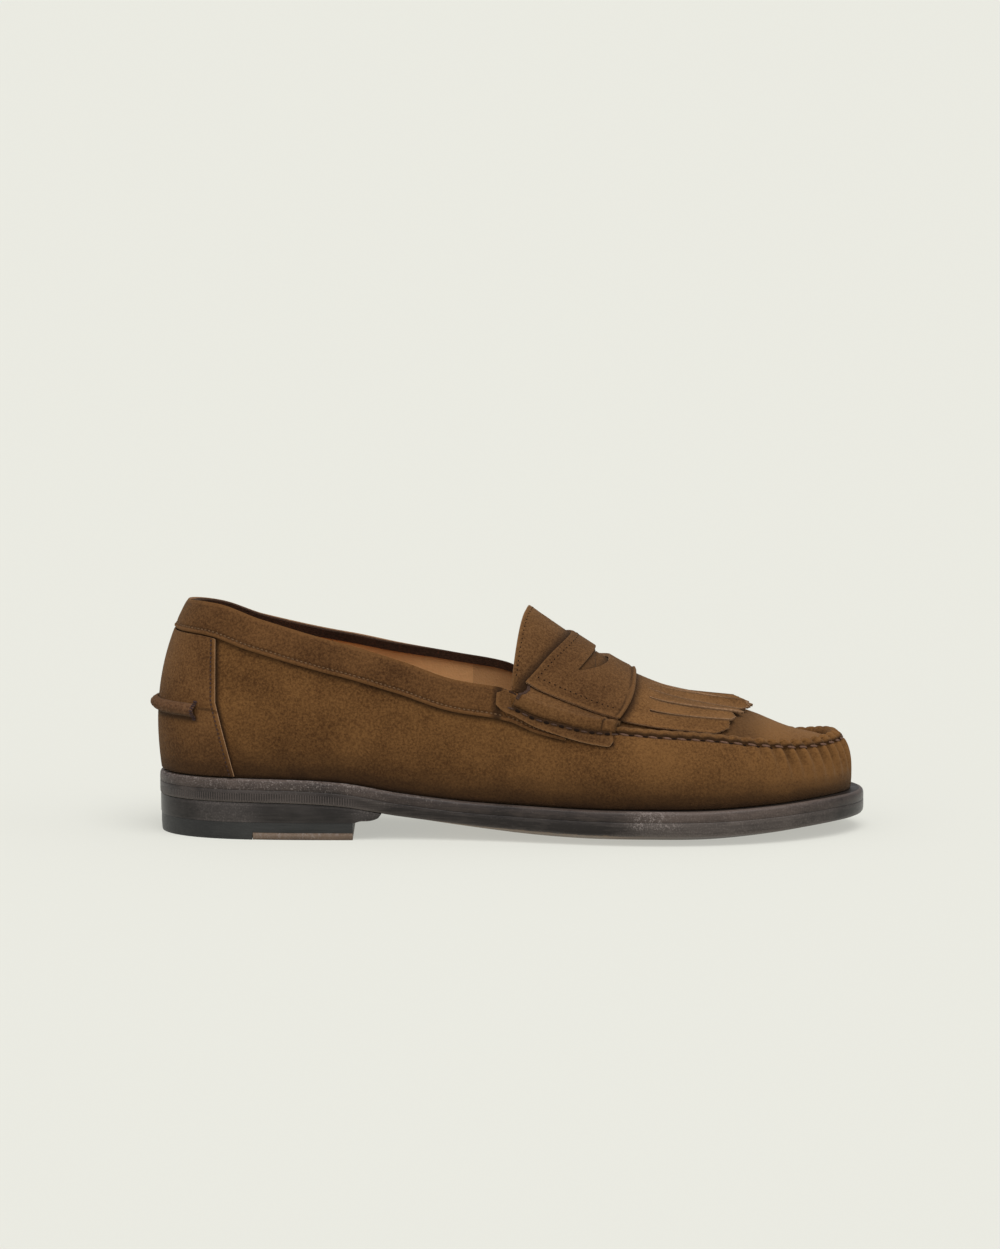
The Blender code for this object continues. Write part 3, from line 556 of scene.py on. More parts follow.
def heel_base_bottom(share, across):
    """Flat under the heel, and turned up in a round corner at the lip's front."""
    x = SOLE_BACK + share * SOLE_LENGTH
    into = min(max((x - (HEEL_FRONT + 0.45 * HEEL_LIP)) / (0.55 * HEEL_LIP), 0.0), 1.0)
    depth = (heel_top(share, across) - TOP_LIFT_THICKNESS) * 0.75
    dished = 0.0008 * eased(x, HEEL_FRONT, HEEL_FRONT + 0.3 * HEEL_LIP)
    return TOP_LIFT_THICKNESS + JOINT + dished + depth * (1 - math.sqrt(max(1 - into ** 2, 0.0)))


def rounded_edges(piece, width):
    bevel = piece.modifiers.new("rounded_edges", "BEVEL")
    bevel.width = width
    bevel.segments = 2
    bevel.limit_method = "ANGLE"
    bevel.angle_limit = math.radians(48)
    bevel.harden_normals = True


# On the stack the pale zone at 0.07 to 0.12 of the length is a painted reflection, and the pale row near its
# top a painted highlight line.
stack_edge = edge_leather(
    "stack_edge",
    (0.0130, 0.0105, 0.0095),
    (0.062, 0.052, 0.048),
    ((0.0, 0.02), (0.10, 0.16), (0.20, 0.02), (0.86, 0.02), (0.95, 0.14), (1.0, 0.0)),
    (
        (0.0, 0.05), (0.04, 0.10), (0.07, 0.90), (0.12, 0.80),
        (0.16, 0.10), (0.27, 0.05), (0.285, 0.4), (0.33, 0.3),
    ),
    scuff_and_glint_rows=((0.27, 0.0), (0.28, 0.6), (0.33, 0.5)),
)
heel_base = made_piece(
    "stacked_heel",
    sole_slab(
        heel_stations(SOLE_BACK, HEEL_FRONT, 44) + heel_stations(HEEL_FRONT, HEEL_FRONT + HEEL_LIP, 10)[1:],
        heel_top,
        heel_base_bottom,
        ((0.0004, 0.0), (0.0003, 0.08), (0.0003, 0.5), (0.0004, 0.92), (0.0006, 1.0)),
        8,
        front=HEEL_FRONT + HEEL_LIP,
    ),
    "edge_dressing",
    stack_edge,
)
rounded_edges(heel_base, 0.0003)
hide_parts("heel_base")

rubber, rubber_tree, rubber_shader, rubber_coords = new_material(
    "top_lift_rubber", {"Specular IOR Level": 0.4}
)
rubber_places = rubbed(rubber_tree, rubber_coords["Object"], 0.15)
rubber_tree.links.new(
    blended(rubber_tree, rubber_places["WornAndLit"], (0.010, 0.0096, 0.0092), (0.045, 0.044, 0.041)),
    rubber_shader.inputs["Base Color"],
)
rubber_tree.links.new(
    shaped(rubber_tree, rubber_places["WornAndLit"], ((0.0, 0.42), (1.0, 0.62))), rubber_shader.inputs["Roughness"]
)
bumped(rubber_tree, rubber_shader, rubber_places["Grain"], 0.0002)
TIP_CLEARANCE = 0.0002


def lift_bottom(share, across):
    x = SOLE_BACK + share * SOLE_LENGTH
    return QUARTER_TIP_THICKNESS + JOINT if x > TIP_START + TIP_CLEARANCE / 2 else 0.0


top_lift = made_piece(
    "rubber_top_lift",
    sole_slab(
        heel_stations(SOLE_BACK, TIP_START, 30) + heel_stations(TIP_START + TIP_CLEARANCE, HEEL_FRONT, 16),
        lambda share, across: TOP_LIFT_THICKNESS,
        lift_bottom,
        ((0.0006, 0.0), (0.0006, 0.5), (0.0008, 0.88), (0.0010, 1.0)),
        8,
        front=HEEL_FRONT,
    ),
    "rubber",
    rubber,
)
rounded_edges(top_lift, 0.00015)
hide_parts("top_lift")

tip_leather = edge_leather(
    "quarter_tip_leather",
    (0.048, 0.031, 0.022),
    (0.165, 0.112, 0.076),
    ((0.0, 0.30), (0.25, 0.62), (0.60, 0.30), (1.0, 0.0)),
    ((0.0, 0.3), (0.245, 0.3), (0.26, 0.0), (1.0, 0.0)),
    scuff_and_glint_rows=((0.0, 0.5), (1.0, 0.5)),
    foot=(0.10, 1.2, (0.140, 0.095, 0.065), ((0.0, 0.0), (0.22, 0.0), (0.25, 0.5), (1.0, 0.5))),
)
quarter_tip = made_piece(
    "leather_quarter_tip",
    sole_slab(
        heel_stations(TIP_START + 1.2 * TIP_CLEARANCE, HEEL_FRONT, 16),
        lambda share, across: QUARTER_TIP_THICKNESS,
        lambda share, across: 0.0,
        ((0.0009, 0.0), (0.0009, 0.3), (0.0010, 0.7), (0.0014, 1.0)),
        8,
        front=HEEL_FRONT,
    ),
    "sole_leather",
    tip_leather,
)
rounded_edges(quarter_tip, 0.00015)
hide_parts("quarter_tip")

# The upper's wall
# Two quarters and a vamp of brown suede over a tan leather lining, pulled over the last. The wall
# runs from the welt up to the topline behind, and in front over the sewn ridge round the apron.
WALL = 0.0024
BACK_HEIGHT = 0.0728
TOP_BACK = SOLE_BACK + 0.0133
TOP_LENGTH = SOLE_LENGTH - 0.0133 - 0.0115
TOP_WIDTH = 0.0784
WELT_SHOW = 0.0055
RIM_WIDTH = 0.0036
RIM_RISE = 0.0030
BULGE = 0.0040
LEAN_POWER = 2.5
STITCH_PITCH = 0.0059
STITCH_DROP = {"side": 0.0024, "toe": 0.0033}

# Top edge of the walls. Centre and half width are shares of TOP_WIDTH, heights of BACK_HEIGHT.
TOP_EDGE = {
    "columns": ("along", "centre", "half_width", "outer_height", "inner_height"),
    "rows": (
        (0.000, 0.000, 0.364, 0.978, 0.978),
        (0.053, 0.000, 0.368, 0.964, 0.928),
        (0.110, -0.003, 0.373, 0.893, 0.847),
        (0.215, -0.010, 0.373, 0.793, 0.770),
        (0.327, -0.019, 0.371, 0.738, 0.755),
        (0.400, -0.028, 0.388, 0.679, 0.739),
        (0.490, -0.038, 0.418, 0.642, 0.692),
        (0.535, -0.041, 0.434, 0.564, 0.609),
        (0.610, -0.043, 0.460, 0.487, 0.527),
        (0.695, -0.031, 0.490, 0.450, 0.478),
        (0.790, -0.005, 0.500, 0.423, 0.440),
        (0.879, 0.028, 0.490, 0.374, 0.362),
        (0.940, 0.046, 0.450, 0.341, 0.308),
        (1.000, 0.058, 0.400, 0.336, 0.336),
    ),
}

# Shares of BULGE, of WELT_SHOW and of RIM_RISE, and the power of the arch over the instep.
SHAPE = {
    "columns": ("along", "outer_bulge", "inner_bulge", "welt", "dip", "arch"),
    "rows": (
        (0.00, 0.62, 0.62, 0.40, -0.60, 2.0),
        (0.20, 0.65, 0.70, 0.42, -0.60, 2.0),
        (0.38, 0.55, 1.00, 0.45, -0.60, 2.0),
        (0.50, 0.50, 0.85, 0.60, -0.60, 2.0),
        (0.58, 0.45, 0.60, 0.75, -0.40, 2.0),
        (0.66, 0.40, 0.45, 0.90, 0.45, 2.1),
        (0.74, 0.35, 0.35, 0.95, 0.85, 2.2),
        (0.86, 0.30, 0.30, 0.98, 0.95, 2.4),
        (1.00, 0.20, 0.20, 1.00, 1.00, 2.4),
    ),
}

# Relief of the sewn ridge over the wall, by the distance below the stitches, in metres.
RIDGE = {
    "columns": ("drop", "relief"),
    "rows": (
        (-0.0025, 0.0001),
        (-0.0012, 0.0006),
        (-0.0006, 0.0003),
        (0.0000, -0.0009),
        (0.0010, -0.0002),
        (0.0030, 0.0000),
    ),
}


def side_of(u):
    return "outer" if math.sin(math.pi * u) >= 0 else "inner"


@lru_cache(maxsize=None)
def top_point(u):
    share = along(u)
    half = smooth_column(TOP_EDGE, "half_width", share) * end_factor(share)
    middle = smooth_column(TOP_EDGE, "centre", share)
    x = TOP_BACK + share * TOP_LENGTH
    height = smooth_column(TOP_EDGE, side_of(u) + "_height", share) * BACK_HEIGHT
    base = seat_height((x - SOLE_BACK) / SOLE_LENGTH)
    return Vector((x, (middle + side_sign(u) * half) * TOP_WIDTH, base + height))


@lru_cache(maxsize=None)
def feather_point(u):
    point = sole_point(u, smooth_column(SHAPE, "welt", along(u)) * WELT_SHOW)
    point.z = seat_height((point.x - SOLE_BACK) / SOLE_LENGTH) + GAP
    return point


@lru_cache(maxsize=None)
def bulge_at(u):
    return smooth_column(SHAPE, side_of(u) + "_bulge", along(u)) * BULGE


def wall_point(u, v):
    foot, top = feather_point(u), top_point(u)
    point = foot.lerp(top, v ** LEAN_POWER) + outward(u) * (bulge_at(u) * 4 * v * (1 - v))
    point.z = mix(foot.z, top.z, v)
    return point


@lru_cache(maxsize=None)
def wall_normal(u, v):
    low, high = max(v - 2e-3, 0.0), min(v + 2e-3, 1.0)
    up = wall_point(u, high) - wall_point(u, low)
    run = wall_point(u + 2e-3, v) - wall_point(u - 2e-3, v)
    normal = run.cross(up).normalized()
    return normal if normal.dot(outward(u)) > 0 else -normal


@lru_cache(maxsize=None)
def wall_height(u):
    return (top_point(u) - feather_point(u)).length


def wall_drop(u, distance):
    return 1 - distance / wall_height(u)


def on_wall(u, v, lift):
    return wall_point(u, v) + wall_normal(u, v) * lift


def wall_place(x, v):
    """Place round the shoe, on the outer side, where the wall has a given x at a given height share."""
    low, high = 0.0, 1.0
    for _ in range(22):
        middle = (low + high) / 2
        low, high = (middle, high) if wall_point(middle, v).x < x else (low, middle)
    return (low + high) / 2


@lru_cache(maxsize=None)
def plug_edge(u):
    """Where the apron's plug starts, inside the sewn ridge."""
    top = top_point(u)
    edge = top - outward(u) * RIM_WIDTH
    edge.z = top.z - smooth_column(SHAPE, "dip", along(u)) * RIM_RISE
    return edge


SEAM_REACH_SHARE = 0.44
SEAM_STEPS = 300
seam_places = [mix(around(SEAM_REACH_SHARE), 1.0, k / SEAM_STEPS) for k in range(SEAM_STEPS + 1)]
seam_runs = [0.0]
for before, after in zip(seam_places[::-1], seam_places[-2::-1]):
    seam_runs.append(seam_runs[-1] + (top_point(after) - top_point(before)).length)


def seam_run(u):
    """Distance along the ridge from the tip of the toe."""
    u = min(u % 2, 2 - u % 2)
    k = (1.0 - u) / (1.0 - seam_places[0]) * SEAM_STEPS
    if k >= SEAM_STEPS:
        return seam_runs[-1]
    low = int(k)
    return mix(seam_runs[low], seam_runs[low + 1], k - low)


def seam_place(run):
    """The same, the other way: the place round the outer side at a distance from the tip."""
    k = next(n for n in range(SEAM_STEPS) if seam_runs[n + 1] >= run)
    share = (run - seam_runs[k]) / (seam_runs[k + 1] - seam_runs[k])
    return 1.0 - (k + share) / SEAM_STEPS * (1.0 - seam_places[0])


def stitch_drop(u):
    """How far the stitches lie below the ridge's crown."""
    return mix(STITCH_DROP["side"], STITCH_DROP["toe"], eased(along(u), 0.80, 0.95))


@lru_cache(maxsize=None)
def gathers(u):
    """How deep the stitches draw the ridge in, and how deep the wall's puckers are, in metres."""
    share = along(u)
    apron = eased(share, 0.60, 0.70)
    toe = eased(share, 0.80, 0.93)
    wave = 0.5 - 0.5 * math.cos(2 * math.pi * seam_run(u) / STITCH_PITCH)
    uneven = 1 + 0.2 * math.sin(seam_run(u) * 310 + 0.7)
    deepest = 0.0021 if side_of(u) == "outer" else 0.0008
    return apron * mix(0.0007, deepest, toe) * wave ** 2, toe * (0.0026 * wave * uneven - 0.0009)


def sewn_wall(u, v):
    """The wall with the ridge's relief and the puckers below it."""
    drop = (1 - v) * wall_height(u) - stitch_drop(u)
    ridge, pucker = gathers(u)
    apron = eased(along(u), 0.58, 0.68)
    relief = apron * smooth_column(RIDGE, "relief", drop)
    above = 1 - eased(drop, -0.0012, 0.0)
    fading = (1 - eased(drop, 0.002, 0.017)) * (1 - above)
    return on_wall(u, v, relief - ridge * above - pucker * fading)


WALL_DROPS = (
    0.0165, 0.0140, 0.0118, 0.0100, 0.0085, 0.0072, 0.0061, 0.0052, 0.0045, 0.0040,
    0.0036, 0.0032, 0.0028, 0.0024, 0.0020, 0.0016, 0.0012, 0.0007, 0.0003,
)
WALL_LEVELS = 30
RIM_TURNS = (0.15, 0.32, 0.50, 0.68, 0.85, 1.00)
INSIDE_DROPS = (0.0012, 0.0030, 0.0060, 0.0110)
INSIDE_LEVELS = 10
TOPLINE_TURN = 0.0010


@lru_cache(maxsize=None)
def wall_section(u):
    """Points from the welt up the outer face, over the top, and down the inner face."""
    foot = wall_drop(u, WALL_DROPS[0])
    heights = [foot * k / WALL_LEVELS for k in range(WALL_LEVELS)]
    heights += [wall_drop(u, drop) for drop in WALL_DROPS]
    points = [sewn_wall(u, v) for v in heights]
    apron = eased(along(u), 0.50, 0.57)
    ridge = gathers(u)[0]
    top, edge = top_point(u), plug_edge(u)
    for turn in RIM_TURNS:
        arch = math.sin(math.pi * min(turn, 0.9) / 0.9) ** 0.6 if turn < 0.9 else 0.0
        over = top.lerp(top - outward(u) * WALL, turn)
        over.z = top.z - TOPLINE_TURN * (1.6 - 1.3 * arch)
        ridged = top.lerp(edge, turn)
        ridged.z = mix(top.z, edge.z, max((turn - 0.45) / 0.55, 0.0) ** 1.8) - ridge * (1 - turn)
        ridged.z += 0.0003 * math.sin(math.pi * turn)
        points.append(over.lerp(ridged, apron))
    inside = []
    for drop in INSIDE_DROPS:
        lowered = drop + apron * (smooth_column(SHAPE, "dip", along(u)) * RIM_RISE + WALL)
        inside.append(wall_drop(u, max(lowered, 0.0008)))
    lowest = inside[-1]
    inside += [lowest * (1 - k / INSIDE_LEVELS) for k in range(1, INSIDE_LEVELS + 1)]
    for v in inside:
        normal = wall_normal(u, max(v, 0.0))
        if v <= 1e-6:
            normal = Vector((normal.x, normal.y, 0.0)).normalized()
        points.append(wall_point(u, max(v, 0.0)) - normal * WALL)
    points.append(points[0])
    return points


suede_group, suede_in, suede_out = new_group(
    "suede_nap",
    (("Light", "Color"), ("Dark", "Color"), ("PaintedShade", "Float"), ("Lift", "Float")),
    (("Color", "Color"), ("Roughness", "Float"), ("Height", "Float")),
)
suede_coords = suede_group.nodes.new("ShaderNodeTexCoord").outputs["Object"]
suede_patches = noise_at(suede_group, suede_coords, 38.0, 3.0, 0.55)
suede_mottle = noise_at(suede_group, suede_coords, 230.0, 4.0, 0.65, (0.8, 1.0, 1.25))
suede_speckle = noise_at(suede_group, suede_coords, 1050.0, 4.0, 0.75)
suede_hairs = noise_at(suede_group, suede_coords, 2300.0, 2.0, 0.6, (0.45, 0.7, 1.3))
# The tone is raised by the paleness input: painted highlights along edges, with some paler cut nap.
suede_tone = plus(suede_group, times(suede_group, suede_patches, 0.92), suede_in["Lift"])
suede_tone = plus(suede_group, suede_tone, times(suede_group, suede_mottle, 0.17))
suede_points = add_node(
    suede_group, "ShaderNodeMapRange", {"Value": suede_speckle, "From Min": 0.36, "From Max": 0.64}
).outputs["Result"]
suede_tone = plus(suede_group, suede_tone, times(suede_group, suede_points, 0.58))
suede_length = add_node(suede_group, "ShaderNodeSeparateXYZ", {"Vector": suede_coords}).outputs["X"]
# Painted light: the tone rises towards the front of the shoe and again at the toe, so the toe looks lit more
# than the heel.
fore_painted_light = add_node(
    suede_group,
    "ShaderNodeMapRange",
    {"Value": suede_length, "From Min": 0.03, "From Max": 0.20, "To Min": -0.04, "To Max": 0.12},
).outputs["Result"]
suede_tone = plus(suede_group, suede_tone, fore_painted_light)
toe_painted_light = add_node(
    suede_group,
    "ShaderNodeMapRange",
    {"Value": suede_length, "From Min": 0.19, "From Max": 0.255, "To Min": 0.0, "To Max": 0.22},
).outputs["Result"]
suede_tone = plus(suede_group, suede_tone, toe_painted_light)
suede_share = add_node(
    suede_group, "ShaderNodeMapRange", {"Value": suede_tone, "From Min": 0.46, "From Max": 1.19}
).outputs["Result"]
suede_colour = blended(suede_group, suede_share, suede_in["Dark"], suede_in["Light"])
# Painted shade: where the shade mask is high, the colour is blended towards near black.
suede_shaded = blended(suede_group, suede_in["PaintedShade"], suede_colour, (0.020, 0.0095, 0.0042))
suede_group.links.new(suede_shaded, suede_out["Color"])
suede_group.links.new(
    shaped(suede_group, suede_speckle, ((0.2, 0.98), (0.8, 0.86))), suede_out["Roughness"]
)
suede_height = plus(suede_group, times(suede_group, suede_speckle, 0.7), suede_hairs)
suede_group.links.new(suede_height, suede_out["Height"])


def suede(name, light, dark, shade_rows=None, lift=None):
    """Brushed suede, with optional rows of the piece's own V and an amount: of painted shade, darker towards
    the welt, and of paleness (lift), painted highlights along raised and folded edges with the cut edges'
    paler nap.

    The piece's shade attribute adds painted shade where it is above 0, and paleness, mostly painted
    highlight, where it is below.
    """
    material, tree, shader, coords = new_material(
        name,
        {
            "Specular IOR Level": 0.12,
            "Sheen Weight": 0.10,
            "Sheen Roughness": 0.40,
            "Sheen Tint": (1.0, 0.70, 0.42, 1.0),
        },
    )
    nap = add_node(tree, "ShaderNodeGroup", {}, node_tree=suede_group)
    nap.inputs["Light"].default_value = (*light, 1.0)
    nap.inputs["Dark"].default_value = (*dark, 1.0)
    height = add_node(tree, "ShaderNodeSeparateXYZ", {"Vector": coords["UV"]}).outputs["Y"]
    # The shade attribute and the rows by height paint shade; negative shade and the lift rows paint paleness,
    # mostly highlights along raised edges.
    shade = add_node(tree, "ShaderNodeAttribute", {}, attribute_name="shade").outputs["Fac"]
    painted_shading = combined(tree, "MAXIMUM", shade, 0.0)
    if shade_rows:
        ragged_shade_edge = times(tree, noise_at(tree, coords["Object"], 120.0, 4.0), 0.10)
        painted_shading = combined(tree, "MAXIMUM", painted_shading, shaped(tree, plus(tree, height, ragged_shade_edge), shade_rows))
    tree.links.new(painted_shading, nap.inputs["PaintedShade"])
    pale_and_lit = combined(tree, "MAXIMUM", times(tree, shade, -1.0), 0.0)
    if lift:
        pale_and_lit = plus(tree, pale_and_lit, shaped(tree, height, lift))
    tree.links.new(pale_and_lit, nap.inputs["Lift"])
    tree.links.new(nap.outputs["Color"], shader.inputs["Base Color"])
    tree.links.new(nap.outputs["Roughness"], shader.inputs["Roughness"])
    bumped(tree, shader, nap.outputs["Height"], 0.00034, 0.9)
    return material


# Darker towards the welt: mostly painted shade where the wall's foot turns under, partly dirt.
quarter_suede = suede(
    "quarter_suede",
    (0.178, 0.083, 0.026),
    (0.058, 0.0235, 0.0065),
    shade_rows=((0.05, 0.94), (0.12, 0.76), (0.22, 0.46), (0.34, 0.18), (0.50, 0.05), (0.75, 0.0)),
)
LINING_JOIN = 0.0975


def smooth_leather(name, colour, shade, gloss):
    """Fine-grained lining leather, with pores and a darker panel ahead of its join."""
    material, tree, shader, coords = new_material(name, {"Specular IOR Level": 0.35})
    handled = noise_at(tree, coords["Object"], 30.0, 4.0)
    pores = add_node(
        tree, "ShaderNodeTexVoronoi", {"Vector": coords["Object"], "Scale": 1500.0}, feature="SMOOTH_F1"
    ).outputs["Distance"]
    grain = noise_at(tree, coords["Object"], 700.0, 5.0)
    tone = plus(tree, times(tree, handled, 0.7), times(tree, grain, 0.3))
    length = add_node(tree, "ShaderNodeSeparateXYZ", {"Vector": coords["Object"]}).outputs["X"]
    ahead = add_node(
        tree,
        "ShaderNodeMapRange",
        {"Value": length, "From Min": LINING_JOIN - 0.0002, "From Max": LINING_JOIN},
    ).outputs["Result"]
    panel = blended(tree, shaped(tree, tone, ((0.3, 0.0), (0.7, 1.0))), colour, shade)
    panel = blended(tree, times(tree, ahead, 0.28), panel, (0.10, 0.045, 0.016))
    tree.links.new(panel, shader.inputs["Base Color"])
    polish = shaped(tree, grain, ((0.2, gloss + 0.08), (0.8, gloss - 0.06)))
    tree.links.new(polish, shader.inputs["Roughness"])
    bumped(tree, shader, plus(tree, pores, times(tree, grain, 0.4)), 0.00015, 0.7)
    return material


lining_leather = smooth_leather("lining_leather", (0.66, 0.37, 0.160), (0.56, 0.30, 0.125), 0.50)

WALL_COLUMNS = 640
BAND_WIDTH = 0.0118
FLAP_DROP = 0.0086
FLAP_SPAN_SHARE = (0.474, 0.646)
COLLAR_SPAN_SHARE = 0.489
BAND_END_SHARE = 0.575
BAND_STAND = 0.0010
COUNTER_FOOT = 0.0328
COUNTER_SEAM = 0.0251
COUNTER_SLOPE_SHARE = 0.56
COUNTER_TOP_DROP = 0.0110
SHADE_WIDTH = 0.0022
UV_PER_METRE = {"side": 20, "toe": 30}
wall_rows = len(wall_section(0.5)) - 1
outer_rows = WALL_LEVELS + len(WALL_DROPS)


def painted_edge_shade(distance, width, depth=0.85):
    """Painted shade beside an edge, from full at the edge to nothing at a width away from it."""
    return depth * (1 - eased(distance, 0.0, width)) if distance > -width else 0.0


def counter_reach(level):
    """How far ahead of the sole's back the counter's front edge lies, at a share of its height."""
    return mix(COUNTER_FOOT, COUNTER_SEAM, min(level / COUNTER_SLOPE_SHARE, 1.0))


def band_edges(u):
    """Distance of the collar band's lower and upper edge below the topline."""
    out = max((along(abs(u)) - COLLAR_SPAN_SHARE) / (BAND_END_SHARE - COLLAR_SPAN_SHARE), 0.0)
    high = mix(FLAP_DROP * 0.8, BAND_WIDTH * 0.72, out) if out > 0 else -BAND_STAND * eased(u, 0.0, 0.10)
    return BAND_WIDTH * mix(1.0, 0.83, out), high


def wall_shading(u, point):
    """Painted shade below the band and the strap's flap and ahead of the counter, dark along the apron's
    seam, and in the toe's folds painted shade in the troughs and painted highlight on the crests.
    """
    share = along(u)
    drop = (top_point(u) - point).length
    painted_shading = painted_edge_shade(drop - band_edges(u)[0], SHADE_WIDTH) if share < BAND_END_SHARE else 0.0
    if FLAP_SPAN_SHARE[0] < share < FLAP_SPAN_SHARE[1]:
        painted_shading = max(painted_shading, painted_edge_shade(drop - FLAP_DROP, SHADE_WIDTH))
    if share > 0.6:
        below = drop - stitch_drop(u)
        painted_shading = max(painted_shading, 0.85 * math.exp(-(below / 0.0010) ** 2))
        folds = (1 - eased(below, 0.003, 0.013)) * eased(below, 0.0005, 0.0015)
        painted_shading += folds * 210 * gathers(u)[1] if painted_shading < 0.3 else 0.0
    level = (point.z - feather_point(u).z) / (top_point(u).z - feather_point(u).z - COUNTER_TOP_DROP)
    if level < 1.0:
        painted_shading = max(painted_shading, painted_edge_shade(point.x - SOLE_BACK - counter_reach(max(level, 0.0)), 0.0020))
    return painted_shading


def wall_corner(i, j):
    u = 2 * (i % WALL_COLUMNS) / WALL_COLUMNS
    point = wall_section(u)[j]
    painted_shading = wall_shading(u, point) if j < outer_rows else 0.0
    tall = mix(UV_PER_METRE["side"], UV_PER_METRE["toe"], eased(along(u), 0.80, 0.95))
    return point, (seam_run(u), (point.z - feather_point(u).z) * tall), painted_shading


upper_wall = made_piece(
    "suede_upper",
    welded(laid_grid(WALL_COLUMNS, wall_rows, wall_corner, lined_from=outer_rows + len(RIM_TURNS) - 1)),
    "suede",
    quarter_suede,
    lining_leather,
)
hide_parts("upper")

# The apron's plug
# The top of the vamp, one piece of suede with its lining, sewn to the wall inside the ridge.
THROAT_SHARE = 0.560
INSTEP_RISE = 0.0343

INSTEP = {
    "columns": ("along", "rise"),
    "rows": (
        (0.495, 0.885),
        (0.527, 0.875),
        (0.583, 0.742),
        (0.632, 0.630),
        (0.669, 0.533),
        (0.699, 0.466),
        (0.735, 0.396),
        (0.790, 0.330),
        (0.860, 0.285),
        (0.900, 0.228),
        (0.956, 0.122),
        (1.000, 0.000),
    ),
}


@lru_cache(maxsize=None)
def instep_line(share):
    """The plug's two edges at one place along it, and the height and power of the arch between them."""
    rise = smooth_column(INSTEP, "rise", share) * INSTEP_RISE
    arch = smooth_column(SHAPE, "arch", share)
    return plug_edge(around(share)), plug_edge(around(share, True)), rise, arch


def instep_point(share, across):
    outer, inner, rise, arch = instep_line(share)
    point = outer.lerp(inner, (1 + across) / 2)
    point.z += rise * (1 - min(abs(across), 1.0) ** arch)
    return point


def instep_normal(share, across):
    step = 4e-3
    forward = instep_point(share + step, across) - instep_point(share - step, across)
    sideways = instep_point(share, across + step) - instep_point(share, across - step)
    return forward.cross(sideways).normalized()


def on_instep(share, across, lift):
    return instep_point(share, across) + instep_normal(share, across) * lift


def sheet_piece(name, size, place, thickness, slot, materials, kept=None, edge=0.0, lined=False):
    """A sheet over grid places, thickened inwards. place(i, j, lift) gives a point and its UV.

    The last material takes its rim, and if lined its inner face as well.
    """
    columns, rows = size
    shape = laid_grid(columns, rows, lambda i, j: place(i, j, 0.0), kept=kept)
    bmesh.ops.remove_doubles(shape, verts=shape.verts, dist=WELD_DISTANCE)
    shape.normal_update()
    i, j = columns // 2, rows // 2
    up = place(i, j, 1e-3)[0] - place(i, j, 0.0)[0]
    here = place(i, j, 0.0)[0]
    middle = min(shape.faces, key=lambda face: (face.calc_center_median() - here).length)
    if middle.normal.dot(up) < 0:
        bmesh.ops.reverse_faces(shape, faces=shape.faces)
    piece = made_piece(name, shape, slot, *materials)
    solid = piece.modifiers.new("thickness", "SOLIDIFY")
    solid.thickness = thickness
    solid.offset = -1.0
    solid.material_offset = len(materials) - 1 if lined else 0
    solid.material_offset_rim = len(materials) - 1
    if edge:
        rounded_edges(piece, edge)
    return piece


vamp_suede = suede("vamp_suede", (0.190, 0.090, 0.030), (0.066, 0.027, 0.0080))
PLUG_COLUMNS = 48
PLUG_ROWS = 90


def plug_place(i, j, lift):
    u = mix(around(THROAT_SHARE), 1.0, (j / PLUG_ROWS) ** 0.8)
    across = 2 * i / PLUG_COLUMNS - 1
    share = along(u)
    point = instep_point(share, across)
    point.z += lift - 0.0002
    width = (plug_edge(u) - plug_edge(2 - u)).length / 2
    # Painted shade beside the sewn ridge, and painted shadow under the kiltie's strip ends.
    kiltie_shadow = 0.45 * (1 - eased(share, 0.855, 0.915))
    painted_shading = max(painted_edge_shade((1 - abs(across)) * width, 0.0020, 0.7), kiltie_shadow)
    return point, (across, share), painted_shading


plug = sheet_piece(
    "suede_plug", (PLUG_COLUMNS, PLUG_ROWS), plug_place, WALL * 0.8, "suede",
    (vamp_suede, lining_leather), lined=True,
)
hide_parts("upper")

# The apron's seam
# One waxed thread, sewn through the wall and the plug's edge, gathers the wall into a low ridge.
STITCH_SIZE = (0.0042, 0.0011, 0.0010)
STITCH_SLANT = 0.16
THREAD_TWIST = 2600.0
SEAM_START_SHARE = 0.652


def stitch_spots(path, pitch, first=0.0, last=0.0):
    """Places at even distances along a path of points and normals: point, direction and normal."""
    runs = [0.0]
    for before, after in zip(path, path[1:]):
        runs.append(runs[-1] + (after[0] - before[0]).length)
    reach = runs[-1] - first - last
    count = max(round(reach / pitch), 1)
    spots = []
    k = 0
    for n in range(count + 1):
        run = first + reach * n / count
        while k < len(path) - 2 and runs[k + 1] < run:
            k += 1
        share = (run - runs[k]) / max(runs[k + 1] - runs[k], 1e-9)
        point = path[k][0].lerp(path[k + 1][0], share)
        direction = (path[k + 1][0] - path[k][0]).normalized()
        spots.append((point, direction, path[k][1].lerp(path[k + 1][1], share).normalized()))
    return spots


def bead_shape(spots, size, slant=0.0, sink=0.0):
    """Small ellipsoids in one mesh. size is length, width and height, slant turns them on the surface."""
    shape = bmesh.new()
    for point, direction, normal in spots:
        side = normal.cross(direction).normalized()
        turn = Matrix.Rotation(slant, 3, normal)
        forward = turn @ side.cross(normal).normalized()
        place = Matrix((forward, turn @ side, normal)).transposed().to_4x4()
        place.translation = point - normal * sink
        scale = Matrix.Diagonal((size[0] / 2, size[1] / 2, size[2] / 2, 1.0))
        bmesh.ops.create_uvsphere(shape, u_segments=8, v_segments=6, radius=1.0, matrix=place @ scale)
    return shape


